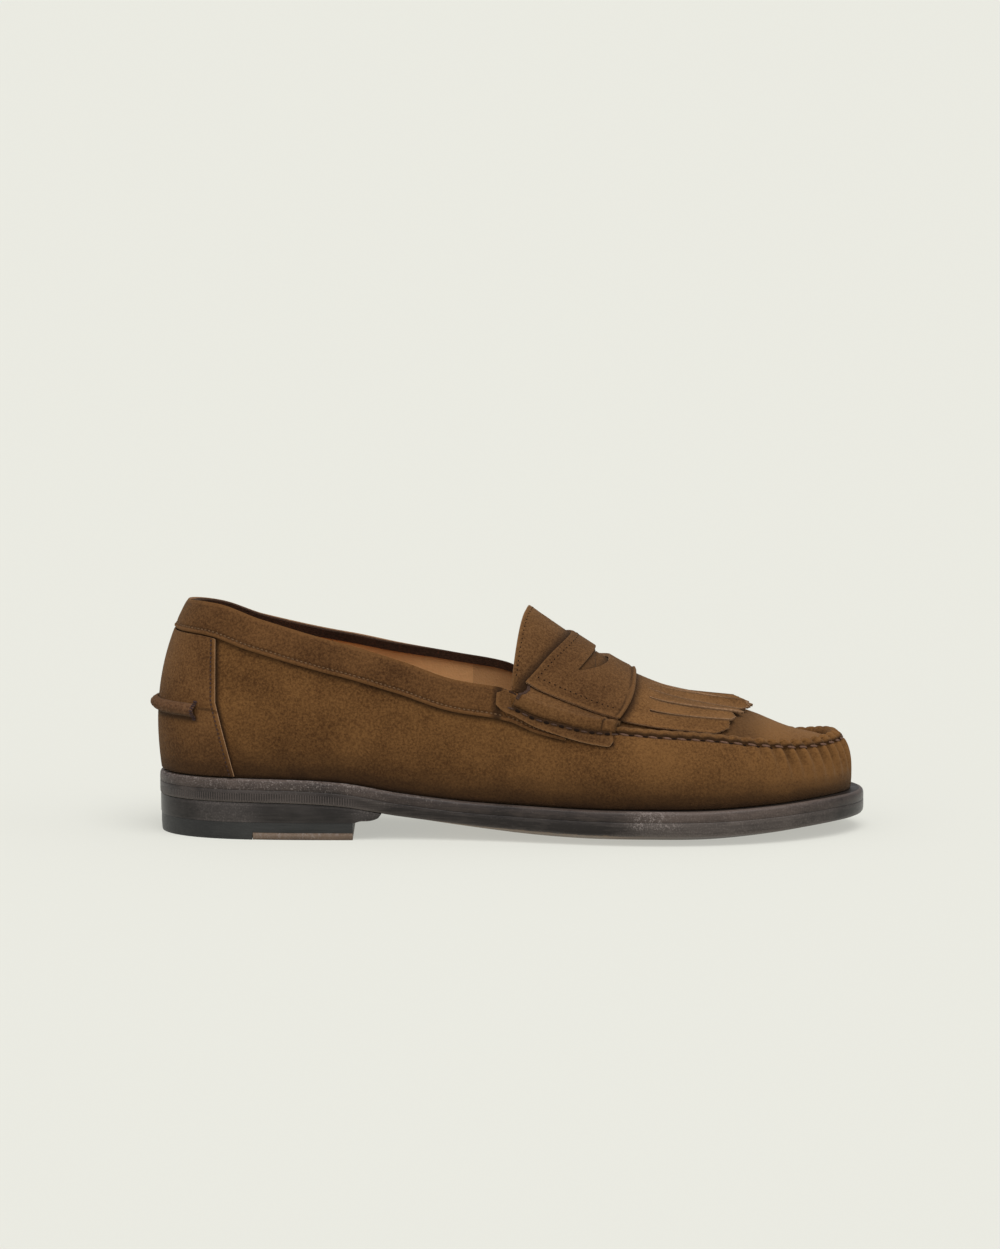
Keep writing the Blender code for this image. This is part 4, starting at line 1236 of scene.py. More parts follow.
def thread_material(name, colour):
    material, tree, shader, coords = new_material(name, {"Specular IOR Level": 0.12, "Roughness": 0.7})
    fibre = noise_at(tree, coords["Object"], THREAD_TWIST, 2.0)
    dark = tuple(value * 0.5 for value in colour)
    twisted = blended(tree, shaped(tree, fibre, ((0.35, 0.0), (0.65, 1.0))), dark, colour)
    tree.links.new(twisted, shader.inputs["Base Color"])
    bumped(tree, shader, fibre, 0.0002)
    return material


seam_thread = thread_material("seam_thread", (0.185, 0.102, 0.068))
# Needle holes are near-black beads: painted shade standing for the inside of each hole.
hole_shade_material, _, hole_shader, _ = new_material("needle_hole", {"Roughness": 0.95, "Specular IOR Level": 0.05})
hole_shader.inputs["Base Color"].default_value = (0.012, 0.007, 0.005, 1.0)
seam_spots, hole_spots = [], []
seam_end = seam_run(around(SEAM_START_SHARE))
for k in range(int(seam_end / STITCH_PITCH * 2) + 1):
    near = seam_place(max(k * STITCH_PITCH / 2, 1e-6))
    for u in (near, 2 - near) if k else (near,):
        v = wall_drop(u, stitch_drop(u))
        direction = (wall_point(u + 1e-3, v) - wall_point(u - 1e-3, v)).normalized()
        spot = (sewn_wall(u, v), direction, wall_normal(u, v))
        (hole_spots if k % 2 else seam_spots).append(spot)
made_piece(
    "apron_seam_thread", bead_shape(seam_spots, STITCH_SIZE, -STITCH_SLANT, -0.0002), "suede", seam_thread
)
made_piece(
    "apron_seam_holes", bead_shape(hole_spots, (0.0026, 0.0020, 0.0010), 0.0, 0.0001), "suede", hole_shade_material
)

# The topline facing and the collar band
# A strip of dark suede lines the mouth. Outside, a band of suede is sewn on round the topline.
FACING_WIDTH = 0.0043
FACING_THICKNESS = 0.0009
BAND_THICKNESS = 0.0011
FLAP_THICKNESS = 0.0011
FACING_COLUMNS = 220
FACING_ROWS = 9
FACING_FOLD_ROW = 5
FACING_RISE = 0.0012

facing_suede = suede("facing_suede", (0.048, 0.022, 0.012), (0.019, 0.0085, 0.0050))
FACING_END_SHARE = 0.503
FOLD_REACH = 0.68
collar_end = around(FACING_END_SHARE)


def facing_place(i, j, lift):
    """Up the inside of the wall, and folded over its top."""
    u = mix(-collar_end, collar_end, i / FACING_COLUMNS) % 2
    inside = -WALL - 1.6 * GAP - FACING_THICKNESS
    if j <= FACING_FOLD_ROW:
        drop = mix(FACING_WIDTH - 0.0020, 0.0, j / FACING_FOLD_ROW)
        point = on_wall(u, wall_drop(u, drop), inside - lift)
        point.z += mix(0.0, FACING_RISE, j / FACING_FOLD_ROW)
        return point, (i, j)
    top = top_point(u)
    fold = (j - FACING_FOLD_ROW) / (FACING_ROWS - FACING_FOLD_ROW)
    start = on_wall(u, 1.0, inside)
    point = start.lerp(top, fold * FOLD_REACH)
    point.z = mix(start.z + FACING_RISE, top.z, fold) + 0.0005 * math.sin(math.pi * fold) + lift
    return point, (i, j)


facing = sheet_piece(
    "topline_facing_strip", (FACING_COLUMNS, FACING_ROWS), facing_place, FACING_THICKNESS, "dark_suede",
    (facing_suede,), edge=0.0003,
)
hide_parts("topline_facing")

# Relief of the band by the distance above its lower edge, in metres.
BAND_RELIEF = {
    "columns": ("rise", "relief"),
    "rows": (
        (0.0000, -0.0003),
        (0.0003, 0.0003),
        (0.0009, 0.0005),
        (0.0018, -0.0002),
        (0.0027, 0.0001),
        (0.0060, 0.0001),
        (0.0100, 0.0000),
        (0.0118, -0.0003),
    ),
}
BAND_COLUMNS = 360
BAND_ROWS = 30
band_end = around(BAND_END_SHARE)


def band_place(i, j, lift):
    u = mix(-band_end, band_end, i / BAND_COLUMNS)
    low, high = band_edges(u)
    drop = mix(low, high, j / BAND_ROWS)
    relief = smooth_column(BAND_RELIEF, "relief", low - drop)
    point = on_wall(u % 2, wall_drop(u % 2, drop), GAP + BAND_THICKNESS + relief + lift)
    # Dark along the stitch line, and painted shadow on the band beside the flap's rear edge.
    groove = 0.45 * math.exp(-((low - drop - 0.0019) / 0.0005) ** 2)
    flap_shadow = painted_edge_shade((FLAP_SPAN_SHARE[0] - along(abs(u))) * TOP_LENGTH, 0.0028, 0.80)
    return point, (u, 1.0 - j / BAND_ROWS), max(groove, flap_shadow)


# Paler at the folded topline and the raised lower edge: painted highlights.
band_suede = suede(
    "band_suede", (0.142, 0.065, 0.0220), (0.046, 0.0185, 0.0056),
    lift=((0.0, 0.55), (0.07, 0.25), (0.13, 0.0), (0.88, 0.0), (0.97, 0.40)),
)
cut_suede = suede("cut_suede_edge", (0.330, 0.190, 0.100), (0.150, 0.075, 0.034))
band = sheet_piece(
    "collar_band_strip", (BAND_COLUMNS, BAND_ROWS), band_place, BAND_THICKNESS, "suede",
    (band_suede, cut_suede), edge=0.0003,
)
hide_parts("collar_band")

tan_thread = thread_material("tan_thread", (0.200, 0.115, 0.058))


def band_line(rise, start, end):
    path = []
    for k in range(301):
        u = mix(start, end, k / 300)
        low, _ = band_edges(u)
        v = wall_drop(u % 2, low - rise)
        path.append((on_wall(u % 2, v, GAP + BAND_THICKNESS - 0.0001), wall_normal(u % 2, v)))
    return path


made_piece(
    "collar_band_thread",
    bead_shape(stitch_spots(band_line(0.0018, -band_end, band_end), 0.0019), (0.0012, 0.0006, 0.0006)),
    "suede",
    tan_thread,
)

# The counter
# An overlay of suede round the heel, below the band, with its front edges sewn down.
COUNTER_THICKNESS = 0.0011
COUNTER_COLUMNS = 180
COUNTER_ROWS = 84
COUNTER_START = 0.012
COUNTER_STITCH_INSET = 0.0019
TAB_HEIGHT = 0.0056
TAB_LENGTH = 0.0172
TAB_LEVEL_SHARE = 0.395
# Darker towards the welt: mostly painted shade where the wall's foot turns under, partly dirt.
counter_suede = suede(
    "counter_suede",
    (0.176, 0.083, 0.029),
    (0.060, 0.0245, 0.0075),
    shade_rows=((0.05, 0.90), (0.12, 0.66), (0.22, 0.36), (0.38, 0.12), (0.60, 0.0)),
)


@lru_cache(maxsize=None)
def counter_front(level):
    return wall_place(SOLE_BACK + counter_reach(level), mix(COUNTER_START, 0.82, level))


def counter_height(u, level):
    """Height share on the wall of a share of the counter's height."""
    return mix(COUNTER_START, wall_drop(u, BAND_WIDTH + 2 * GAP), level)


def counter_place(i, j, lift):
    level, across = j / COUNTER_ROWS, 2 * i / COUNTER_COLUMNS - 1
    u = (across * counter_front(level)) % 2
    v = counter_height(u, level)
    point = on_wall(u, v, GAP + COUNTER_THICKNESS + lift + 0.0005 * eased(abs(across), 0.93, 0.98))
    # Painted shadow under the tab, a dark seam line past its end, dark along the stitches, and a paler edge:
    # a painted highlight on the raised edge with the cut edge's paler nap.
    below = (TAB_LEVEL_SHARE - v) * wall_height(u)
    shadow = 0.85 * math.exp(-((below - TAB_HEIGHT / 2 - 0.0006) / 0.0015) ** 2)
    seam = 0.80 * math.exp(-((below + 0.0012) / 0.0005) ** 2)
    past_tab = eased(point.x, SOLE_BACK + TAB_LENGTH - 0.001, SOLE_BACK + TAB_LENGTH + 0.001)
    stride = (wall_point(u + 1e-3, v) - wall_point(u, v)).length
    inset = (1 - abs(across)) * counter_front(level) / 0.001 * stride
    lit_edge = 0.28 * (1 - eased(inset, 0.0006, 0.0013)) + 0.12 * math.exp(-((inset - 0.0030) / 0.0006) ** 2)
    sewn = 0.30 * math.exp(-((inset - COUNTER_STITCH_INSET) / 0.0005) ** 2)
    painted_shading = max(mix(shadow, seam, past_tab), sewn)
    return point, (across, (point.z - feather_point(u).z) * UV_PER_METRE["side"]), painted_shading - lit_edge


counter = sheet_piece(
    "heel_counter", (COUNTER_COLUMNS, COUNTER_ROWS), counter_place, COUNTER_THICKNESS, "suede",
    (counter_suede, cut_suede), edge=0.0003,
)
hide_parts("counter")

dark_thread = thread_material("dark_thread", (0.060, 0.034, 0.030))
counter_spots = []
for side in (1, -1):
    path = []
    for k in range(101):
        level = mix(0.02, 0.98, k / 100)
        front = counter_front(level)
        stride = (wall_point(front + 1e-3, 0.4) - wall_point(front, 0.4)).length
        inset = COUNTER_STITCH_INSET / max(stride, 1e-6) * 1e-3
        u = (side * (front - inset)) % 2
        v = counter_height(u, level)
        path.append((on_wall(u, v, GAP + COUNTER_THICKNESS + 0.0005), wall_normal(u, v)))
    counter_spots += stitch_spots(path, 0.0018)
made_piece(
    "counter_thread", bead_shape(counter_spots, (0.0011, 0.0006, 0.0005)), "suede", dark_thread
)

# The heel tab
# A short padded roll of suede round the back of the heel, with its two ends sewn down.
TAB_THICKNESS = 0.0030
TAB_COLUMNS = 60
TAB_ROWS = 14
tab_end = wall_place(SOLE_BACK + TAB_LENGTH, TAB_LEVEL_SHARE)


def tab_height(share):
    """Padding of the roll at a share of its height, and how far it stands off the wall."""
    padding = math.sin(math.pi * share) ** 0.75
    return padding, GAP + COUNTER_THICKNESS + 0.0004 + TAB_THICKNESS * 0.92 * padding


def tab_place(i, j, lift):
    u = mix(-tab_end, tab_end, i / TAB_COLUMNS) % 2
    rise = (j / TAB_ROWS - 0.5) * TAB_HEIGHT
    padding, height = tab_height(j / TAB_ROWS)
    wrinkle = 0.00035 * math.sin(i * 1.7 + 2.2 * math.sin(j * 0.9)) * padding
    v = TAB_LEVEL_SHARE + rise / wall_height(u)
    # Painted shade along the roll's lower side and in its wrinkles.
    painted_shading = 0.7 * (1 - eased(j / TAB_ROWS, 0.0, 0.3)) + 0.5 * math.sin(i * 1.7) ** 2 * (1 - j / TAB_ROWS)
    return on_wall(u, v, height + wrinkle + lift), (i / TAB_COLUMNS, j / TAB_ROWS), min(painted_shading, 0.85)


tab_suede = suede("tab_suede", (0.180, 0.090, 0.042), (0.060, 0.026, 0.012))
tab = sheet_piece("heel_tab_roll", (TAB_COLUMNS, TAB_ROWS), tab_place, 0.0006, "suede", (tab_suede,))
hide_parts("heel_tab")
tab_spots = []
for side in (1, -1):
    path = []
    for k in range(21):
        u = (side * tab_end * 0.985) % 2
        v = TAB_LEVEL_SHARE + mix(0.5, -0.5, k / 20) * TAB_HEIGHT * 1.3 / wall_height(u)
        lift = tab_height(min(max(k / 20 * 1.3 - 0.15, 0.0), 1.0))[1]
        path.append((on_wall(u, v, lift), wall_normal(u, v)))
    tab_spots += stitch_spots(path, 0.0013)
made_piece("heel_tab_thread", bead_shape(tab_spots, (0.0011, 0.0022, 0.0008)), "suede", dark_thread)

# The tongue
# A suede tongue under the strap, standing up a little behind it, with a row of needle holes.
TONGUE_THICKNESS = 0.0017
TONGUE_TOP_SHARE = {"middle": 0.5165, "outer": 0.4915, "inner": 0.5060}
TONGUE_BOW = 0.95
TONGUE_FRONT_SHARE = 0.618
TONGUE_EDGE_SHARE = 0.993
TUCK_DEPTH = 0.0026
TONGUE_COLUMNS = 110
TONGUE_ROWS = 60
STRAP_REAR_SHARE = {"middle": 0.5775, "side": 0.5030}
STRAP_FRONT_SHARE = {"middle": 0.6815, "side": 0.6500}
STRAP_END_SHARE = 0.94
SLOT_END_SHARE = 0.627
SLOT_REAR_SHARE = {"middle": 0.615, "side": 0.5895}
SLOT_FRONT_SHARE = {"middle": 0.638, "side": 0.5925}


def bow(ends, across, power=2.0):
    return mix(ends["middle"], ends["side"], abs(across) ** power)


def strap_lines(across):
    """Shares along the shoe of the strap's rear edge, the slot's two edges and the front edge."""
    rear, front = bow(STRAP_REAR_SHARE, across, 1.9), bow(STRAP_FRONT_SHARE, across, 4.5)
    spread = min(abs(across) / SLOT_END_SHARE, 1.0)
    past = max(abs(across) - SLOT_END_SHARE, 0.0) / (STRAP_END_SHARE - SLOT_END_SHARE)
    slot_rear = mix(bow(SLOT_REAR_SHARE, spread), mix(rear, front, 0.42), past)
    slot_front = mix(bow(SLOT_FRONT_SHARE, spread, 3.0), mix(rear, front, 0.58), past)
    return rear, slot_rear, slot_front, front


def strap_shade(across, share):
    """Darkness under the strap and beside its edges, less in the middle of the slot."""
    rear, slot_rear, slot_front, front = strap_lines(across)
    behind, ahead = (rear - share) * TOP_LENGTH, (share - front) * TOP_LENGTH
    if behind > 0 or ahead > 0:
        return painted_edge_shade(max(behind, ahead), 0.0042)
    into = min(max((share - slot_rear) / max(slot_front - slot_rear, 1e-6), 0.0), 1.0)
    return 0.85 - 0.50 * math.sin(math.pi * into ** 0.7)


def tongue_rear(across):
    side = TONGUE_TOP_SHARE["inner" if across > 0 else "outer"]
    return mix(TONGUE_TOP_SHARE["middle"], side, (across ** 2 + 0.004) ** (TONGUE_BOW / 2))


def tongue_place(i, j, lift):
    across = (2 * i / TONGUE_COLUMNS - 1) * TONGUE_EDGE_SHARE
    share = mix(tongue_rear(across), TONGUE_FRONT_SHARE, j / TONGUE_ROWS)
    point = on_instep(share, across, 1.5 * GAP + TONGUE_THICKNESS + lift)
    point.z -= TUCK_DEPTH * eased(abs(across), 0.93, TONGUE_EDGE_SHARE)
    return point, (across, j / TONGUE_ROWS), strap_shade(across, share)


tongue_suede = suede(
    "tongue_suede", (0.160, 0.077, 0.0275), (0.054, 0.0225, 0.0070),
    lift=((0.0, 0.25), (0.04, 0.0), (1.0, 0.0)),
)
tongue = sheet_piece(
    "tongue_flap", (TONGUE_COLUMNS, TONGUE_ROWS), tongue_place, TONGUE_THICKNESS, "suede",
    (tongue_suede, cut_suede), edge=0.0004,
)
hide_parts("tongue")
tongue_path = []
for k in range(201):
    across = mix(-0.92, 0.92, k / 200)
    share = tongue_rear(across) + 0.0055
    tongue_path.append((on_instep(share, across, 1.5 * GAP + TONGUE_THICKNESS), instep_normal(share, across)))
made_piece(
    "tongue_needle_holes",
    bead_shape(stitch_spots(tongue_path, 0.0021), (0.0008, 0.0005, 0.0003)),
    "suede",
    hole_shade_material,
)

# The kiltie
# A sheet of suede sewn under the strap, slit into nine strips with pinked ends over the plug.
KILTIE_THICKNESS = 0.0012
KILTIE_LIFT = 0.0050
KILTIE_REAR_SHARE = 0.6195
KILTIE_SLIT_START_SHARE = 0.705
KILTIE_EDGE_SHARE = 0.950
KILTIE_SLIT = 0.0012
STRIP_CELLS = 12
BODY_ROWS = 24
STRIP_ROWS = 26
PINK_DEPTH_SHARE = 0.0026
STRIP_TILT = 0.0013

# Where each strip ends along the shoe, at its corners and its point, and how far its tip is raised.
STRIPS = {
    "columns": ("outer_corner", "point", "inner_corner", "lift"),
    "rows": (
        (0.810, 0.832, 0.832, 0.10),
        (0.834, 0.842, 0.836, 0.25),
        (0.838, 0.856, 0.848, 0.15),
        (0.850, 0.864, 0.856, 0.28),
        (0.858, 0.868, 0.856, 0.20),
        (0.856, 0.872, 0.850, 0.26),
        (0.846, 0.866, 0.840, 0.40),
        (0.840, 0.856, 0.830, 0.25),
        (0.832, 0.838, 0.816, 0.12),
    ),
}
strip_count = len(STRIPS["rows"])
kiltie_columns = strip_count * (STRIP_CELLS + 1) - 1
slit_share = KILTIE_SLIT / (TOP_WIDTH - 2 * RIM_WIDTH)


def kiltie_place(i, j, lift):
    strip, cell = divmod(i, STRIP_CELLS + 1)
    t = cell / STRIP_CELLS
    low = mix(-KILTIE_EDGE_SHARE, KILTIE_EDGE_SHARE, strip / strip_count) + slit_share
    high = mix(-KILTIE_EDGE_SHARE, KILTIE_EDGE_SHARE, (strip + 1) / strip_count) - slit_share
    across = mix(low, high, t)
    lift += 1.5 * GAP + KILTIE_THICKNESS
    if j <= BODY_ROWS:
        share = mix(KILTIE_REAR_SHARE, KILTIE_SLIT_START_SHARE, j / BODY_ROWS)
        return on_instep(share, across, lift), (across, share), strap_shade(across, share)
    run = (j - BODY_ROWS) / STRIP_ROWS
    outer_corner, point, inner_corner, raised = STRIPS["rows"][strip]
    tip = mix(outer_corner, point, 2 * t) if t < 0.5 else mix(point, inner_corner, 2 * t - 1)
    tip -= PINK_DEPTH_SHARE * (cell % 2)
    share = mix(KILTIE_SLIT_START_SHARE, tip, run)
    lift += raised * KILTIE_LIFT * run ** 2 + 0.0004 * (2 * t - 1) ** 2 * run
    lift += STRIP_TILT * math.sin(2.3 * strip + 1.0) * (2 * t - 1) * run
    # Each strip's own tone, a painted highlight along one edge, and painted shade in the slit beside the
    # other.
    lit_strip_edge = 0.22 * math.exp(-((t - 0.12) / 0.07) ** 2)
    tone = (0.10 * math.sin(4.1 * strip + 0.6) - lit_strip_edge) * eased(run, 0.0, 0.3)
    slit_shade = 0.60 * t ** 14 * eased(run, 0.0, 0.15)
    return on_instep(share, across, lift), (across, share), tone + slit_shade


def kiltie_kept(i, j):
    return j < BODY_ROWS or i % (STRIP_CELLS + 1) != STRIP_CELLS


kiltie = sheet_piece(
    "kiltie_fringe", (kiltie_columns, BODY_ROWS + STRIP_ROWS), kiltie_place, KILTIE_THICKNESS, "suede",
    (vamp_suede, cut_suede), kept=kiltie_kept,
)
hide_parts("kiltie")

# The strap
# A suede saddle strap over the tongue and the kiltie, with a long slot cut in it, piped in front.
STRAP_THICKNESS = 0.0016
STRAP_LIFT = 0.0021
STRAP_END_COLUMNS = 30
STRAP_SLOT_COLUMNS = 110
STRAP_ROWS = {"rear": 20, "slot": 2, "front": 26}
EDGE_TURN = 0.0009
PIPING_INSET = 0.0009
GROOVE_INSET = 2.3 * PIPING_INSET

# Paler at the rear edge and along the front piping: painted highlights on the raised edges.
strap_suede = suede(
    "strap_suede", (0.142, 0.067, 0.0235), (0.047, 0.0190, 0.0058),
    lift=((0.0, 0.25), (0.025, 0.0), (0.925, 0.0), (0.95, 0.30), (0.985, 0.25), (1.0, 0.05)),
)
strap_columns = STRAP_SLOT_COLUMNS + 2 * STRAP_END_COLUMNS
strap_rows = sum(STRAP_ROWS.values())


def strap_across(i):
    if i < STRAP_END_COLUMNS:
        return mix(-STRAP_END_SHARE, -SLOT_END_SHARE, i / STRAP_END_COLUMNS)
    if i > STRAP_END_COLUMNS + STRAP_SLOT_COLUMNS:
        past = i - STRAP_END_COLUMNS - STRAP_SLOT_COLUMNS
        return mix(SLOT_END_SHARE, STRAP_END_SHARE, past / STRAP_END_COLUMNS)
    return mix(-SLOT_END_SHARE, SLOT_END_SHARE, (i - STRAP_END_COLUMNS) / STRAP_SLOT_COLUMNS)


def strap_share(across, j):
    rear, slot_rear, slot_front, front = strap_lines(across)
    if j <= STRAP_ROWS["rear"]:
        return mix(rear, slot_rear, j / STRAP_ROWS["rear"])
    if j <= STRAP_ROWS["rear"] + STRAP_ROWS["slot"]:
        return mix(slot_rear, slot_front, (j - STRAP_ROWS["rear"]) / STRAP_ROWS["slot"])
    return mix(slot_front, front, (j - STRAP_ROWS["rear"] - STRAP_ROWS["slot"]) / STRAP_ROWS["front"])


def strap_relief(across, share):
    """Edges turned down, with a piping raised along the front edge."""
    rear, _, _, front = strap_lines(across)
    behind, ahead = (share - rear) * TOP_LENGTH, (front - share) * TOP_LENGTH
    turned = 0.0
    for distance in (behind, ahead):
        turned -= 0.0006 * (1 - eased(distance, 0.0, EDGE_TURN))
    piping = 0.0003 * math.exp(-((ahead - PIPING_INSET) / 0.0008) ** 2)
    groove = -0.0004 * math.exp(-((ahead - GROOVE_INSET) / 0.0005) ** 2)
    return turned + piping + groove


def strap_place(i, j, lift):
    across = strap_across(i)
    share = strap_share(across, j)
    height = STRAP_LIFT + STRAP_THICKNESS + strap_relief(across, share) + lift
    width = TOP_WIDTH / 2 * (STRAP_END_SHARE - abs(across))
    # Painted shade in the groove behind the piping, and a painted highlight along the strap's lower ends.
    groove = (strap_lines(across)[3] - share) * TOP_LENGTH - GROOVE_INSET
    painted_shading = 0.60 * math.exp(-(groove / 0.00045) ** 2) - 0.30 * (1 - eased(width, 0.0005, 0.0012))
    return on_instep(share, across, height), (across, j / strap_rows), painted_shading


def strap_kept(i, j):
    in_slot = STRAP_ROWS["rear"] <= j < STRAP_ROWS["rear"] + STRAP_ROWS["slot"]
    return not in_slot or not STRAP_END_COLUMNS <= i < STRAP_END_COLUMNS + STRAP_SLOT_COLUMNS


strap = sheet_piece(
    "saddle_strap", (strap_columns, strap_rows), strap_place, STRAP_THICKNESS, "suede",
    (strap_suede, cut_suede), kept=strap_kept, edge=0.0004,
)
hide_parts("penny_strap")


def strap_path(places):
    height = STRAP_LIFT + STRAP_THICKNESS
    return [(on_instep(share, across, height), instep_normal(share, across)) for share, across in places]


HOLE_INSET_SHARE = 0.0095
HOLE_ROW_END = 0.862
HOLE_PITCH = 0.0023
rear_row = [mix(-HOLE_ROW_END, HOLE_ROW_END, k / 160) for k in range(161)]
strap_holes = stitch_spots(
    strap_path([(strap_lines(across)[0] + HOLE_INSET_SHARE, across) for across in rear_row]), HOLE_PITCH
)
for across in (-HOLE_ROW_END, HOLE_ROW_END):
    rear, _, _, front = strap_lines(across)
    first, last = rear + 2 * HOLE_INSET_SHARE, front - 2 * HOLE_INSET_SHARE
    side_row = [(mix(first, last, k / 60), across) for k in range(61)]
    strap_holes += stitch_spots(strap_path(side_row), HOLE_PITCH)
made_piece(
    "strap_needle_holes", bead_shape(strap_holes, (0.0009, 0.00055, 0.0004)), "suede", hole_shade_material
)

# The strap's rolled ends and flaps
# Each end of the strap is a padded roll sewn to the quarter, and its thin tail shows below.
ROLL_THICKNESS = 0.0030
ROLL_DROP = {"rear": 0.0057, "front": 0.0031}
ROLL_REAR_SHARE = {"wall": 0.496, "top": 0.515}
ROLL_FRONT_SHARE = {"wall": 0.650, "top": 0.660}
ROLL_EDGE_SHARE = 0.935
ROLL_COLUMNS = 120
ROLL_ROWS = 30
ROLL_PLEAT = 0.83
ROLL_STITCH_PITCH = 0.0062
FLAP_COLUMNS = 70
FLAP_ROWS = 12
BAR_TACK_THREADS = 3

roll_suede = suede("roll_suede", (0.162, 0.077, 0.0270), (0.057, 0.0235, 0.0071))
purple_thread = thread_material("purple_thread", (0.085, 0.048, 0.034))


def rim_point(u):
    top = top_point(u)
    point = top - outward(u) * (RIM_WIDTH * 0.55)
    point.z = mix(top.z, plug_edge(u).z, 0.12)
    return point


def roll_base(share, step, inner_side):
    """One of the six lines that the roll follows, from the seam on the wall over onto the plug."""
    u = around(share, inner_side)
    sign = 1 if inner_side else -1
    if step < 2:
        run = (share - ROLL_REAR_SHARE["wall"]) / (ROLL_FRONT_SHARE["wall"] - ROLL_REAR_SHARE["wall"])
        drop = mix(ROLL_DROP["rear"], ROLL_DROP["front"], min(max(run, 0.0), 1.0)) * (1 - step / 2)
        v = wall_drop(u, drop)
        return wall_point(u, v), wall_normal(u, v)
    if step > 3:
        across = sign * mix(1.0, ROLL_EDGE_SHARE, step - 4)
        return instep_point(share, across), instep_normal(share, across)
    normal = (wall_normal(u, 1.0) * (4 - step) + instep_normal(share, sign) * (step - 1)).normalized()
    return (top_point(u) if step == 2 else rim_point(u)), normal


def roll_place_on(inner_side):
    def place(i, j, lift):
        s = 5 * j / ROLL_ROWS
        run = i / ROLL_COLUMNS
        step = min(int(s), 4)
        ends = []
        for k in (step, step + 1):
            rear = mix(ROLL_REAR_SHARE["wall"], ROLL_REAR_SHARE["top"], k / 5)
            front = mix(ROLL_FRONT_SHARE["wall"], ROLL_FRONT_SHARE["top"], k / 5)
            frayed = 0.0028 * math.sin(2.9 * j) * eased(run, 0.93, 1.0)
            ends.append(roll_base(mix(rear, front, run) + frayed, k, inner_side))
        point = ends[0][0].lerp(ends[1][0], s - step)
        normal = ends[0][1].lerp(ends[1][1], s - step).normalized()
        padding = math.sin(math.pi * (j / ROLL_ROWS) ** 1.25) ** 0.55
        padding = max(padding, 0.35 * eased(j / ROLL_ROWS, 0.5, 1.0))
        taper = min(min(run, 1 - run) / 0.06, 1.0)
        padding *= mix(0.55, 1.0, math.sin(taper * math.pi / 2)) * eased(min(run, 1 - run), 0.0, 0.006)
        crease = 0.00012 * math.sin(run * 61) * padding
        past_pleat = run - ROLL_PLEAT - 0.035
        pleat = 0.0007 * math.exp(-((run - ROLL_PLEAT) / 0.012) ** 2)
        pleat -= 0.0008 * math.exp(-(past_pleat / 0.010) ** 2)
        height = 2.7 * GAP + ROLL_THICKNESS * 1.15 * padding + crease + pleat * padding
        # Painted shade along the roll's lower edge, a little along its top, and in the fold past the pleat.
        edges = 0.75 * (1 - eased(j / ROLL_ROWS, 0.0, 0.16)) + 0.15 * eased(j / ROLL_ROWS, 0.90, 1.0)
        painted_shading = max(edges, 0.85 * math.exp(-(past_pleat / 0.009) ** 2))
        return point + normal * (height + lift), (run, j / ROLL_ROWS), painted_shading

    return place


def flap_height(share):
    """Height of the flap's outer face over the wall, on the band and then on the bare wall."""
    past_band = eased(share, BAND_END_SHARE - 0.010, BAND_END_SHARE + 0.030)
    return mix(2.5 * GAP + BAND_THICKNESS, 1.8 * GAP, past_band) + FLAP_THICKNESS


def flap_place_on(inner_side):
    def place(i, j, lift):
        start, end = FLAP_SPAN_SHARE
        roll_start = ROLL_REAR_SHARE["wall"]
        share = mix(start, end, i / FLAP_COLUMNS)
        u = around(share, inner_side)
        rounding = min((share - start) / 0.018, (end - share) / 0.010, 1.0)
        low = FLAP_DROP * mix(0.72, 1.0, math.sin(rounding * math.pi / 2))
        behind = mix(1.4 * FLAP_THICKNESS, 0.7 * FLAP_THICKNESS if inner_side else -BAND_STAND, rounding)
        under = (share - roll_start) / (end - roll_start)
        below = mix(ROLL_DROP["rear"], ROLL_DROP["front"], max(under, 0.0)) + GAP - 0.0008
        high = mix(behind, below, eased(share, roll_start - 0.006, roll_start + 0.001))
        v = wall_drop(u, mix(low, high, j / FLAP_ROWS))
        # Painted shade under the roll, and a paler rim: a painted highlight along the flap's edges with the
        # cut edge's paler nap.
        roll_shadow = painted_edge_shade((1 - v) * wall_height(u) - below - 0.0008, 0.0016)
        roll_shadow *= eased(share, roll_start - 0.003, roll_start + 0.003)
        from_end = min(share - start, end - share) * TOP_LENGTH
        rim = 0.35 * (1 - min(eased(from_end, 0.0006, 0.0014), eased(j / FLAP_ROWS, 0.06, 0.14)))
        return on_wall(u, v, flap_height(share) + lift), (share, j / FLAP_ROWS), roll_shadow - rim

    return place


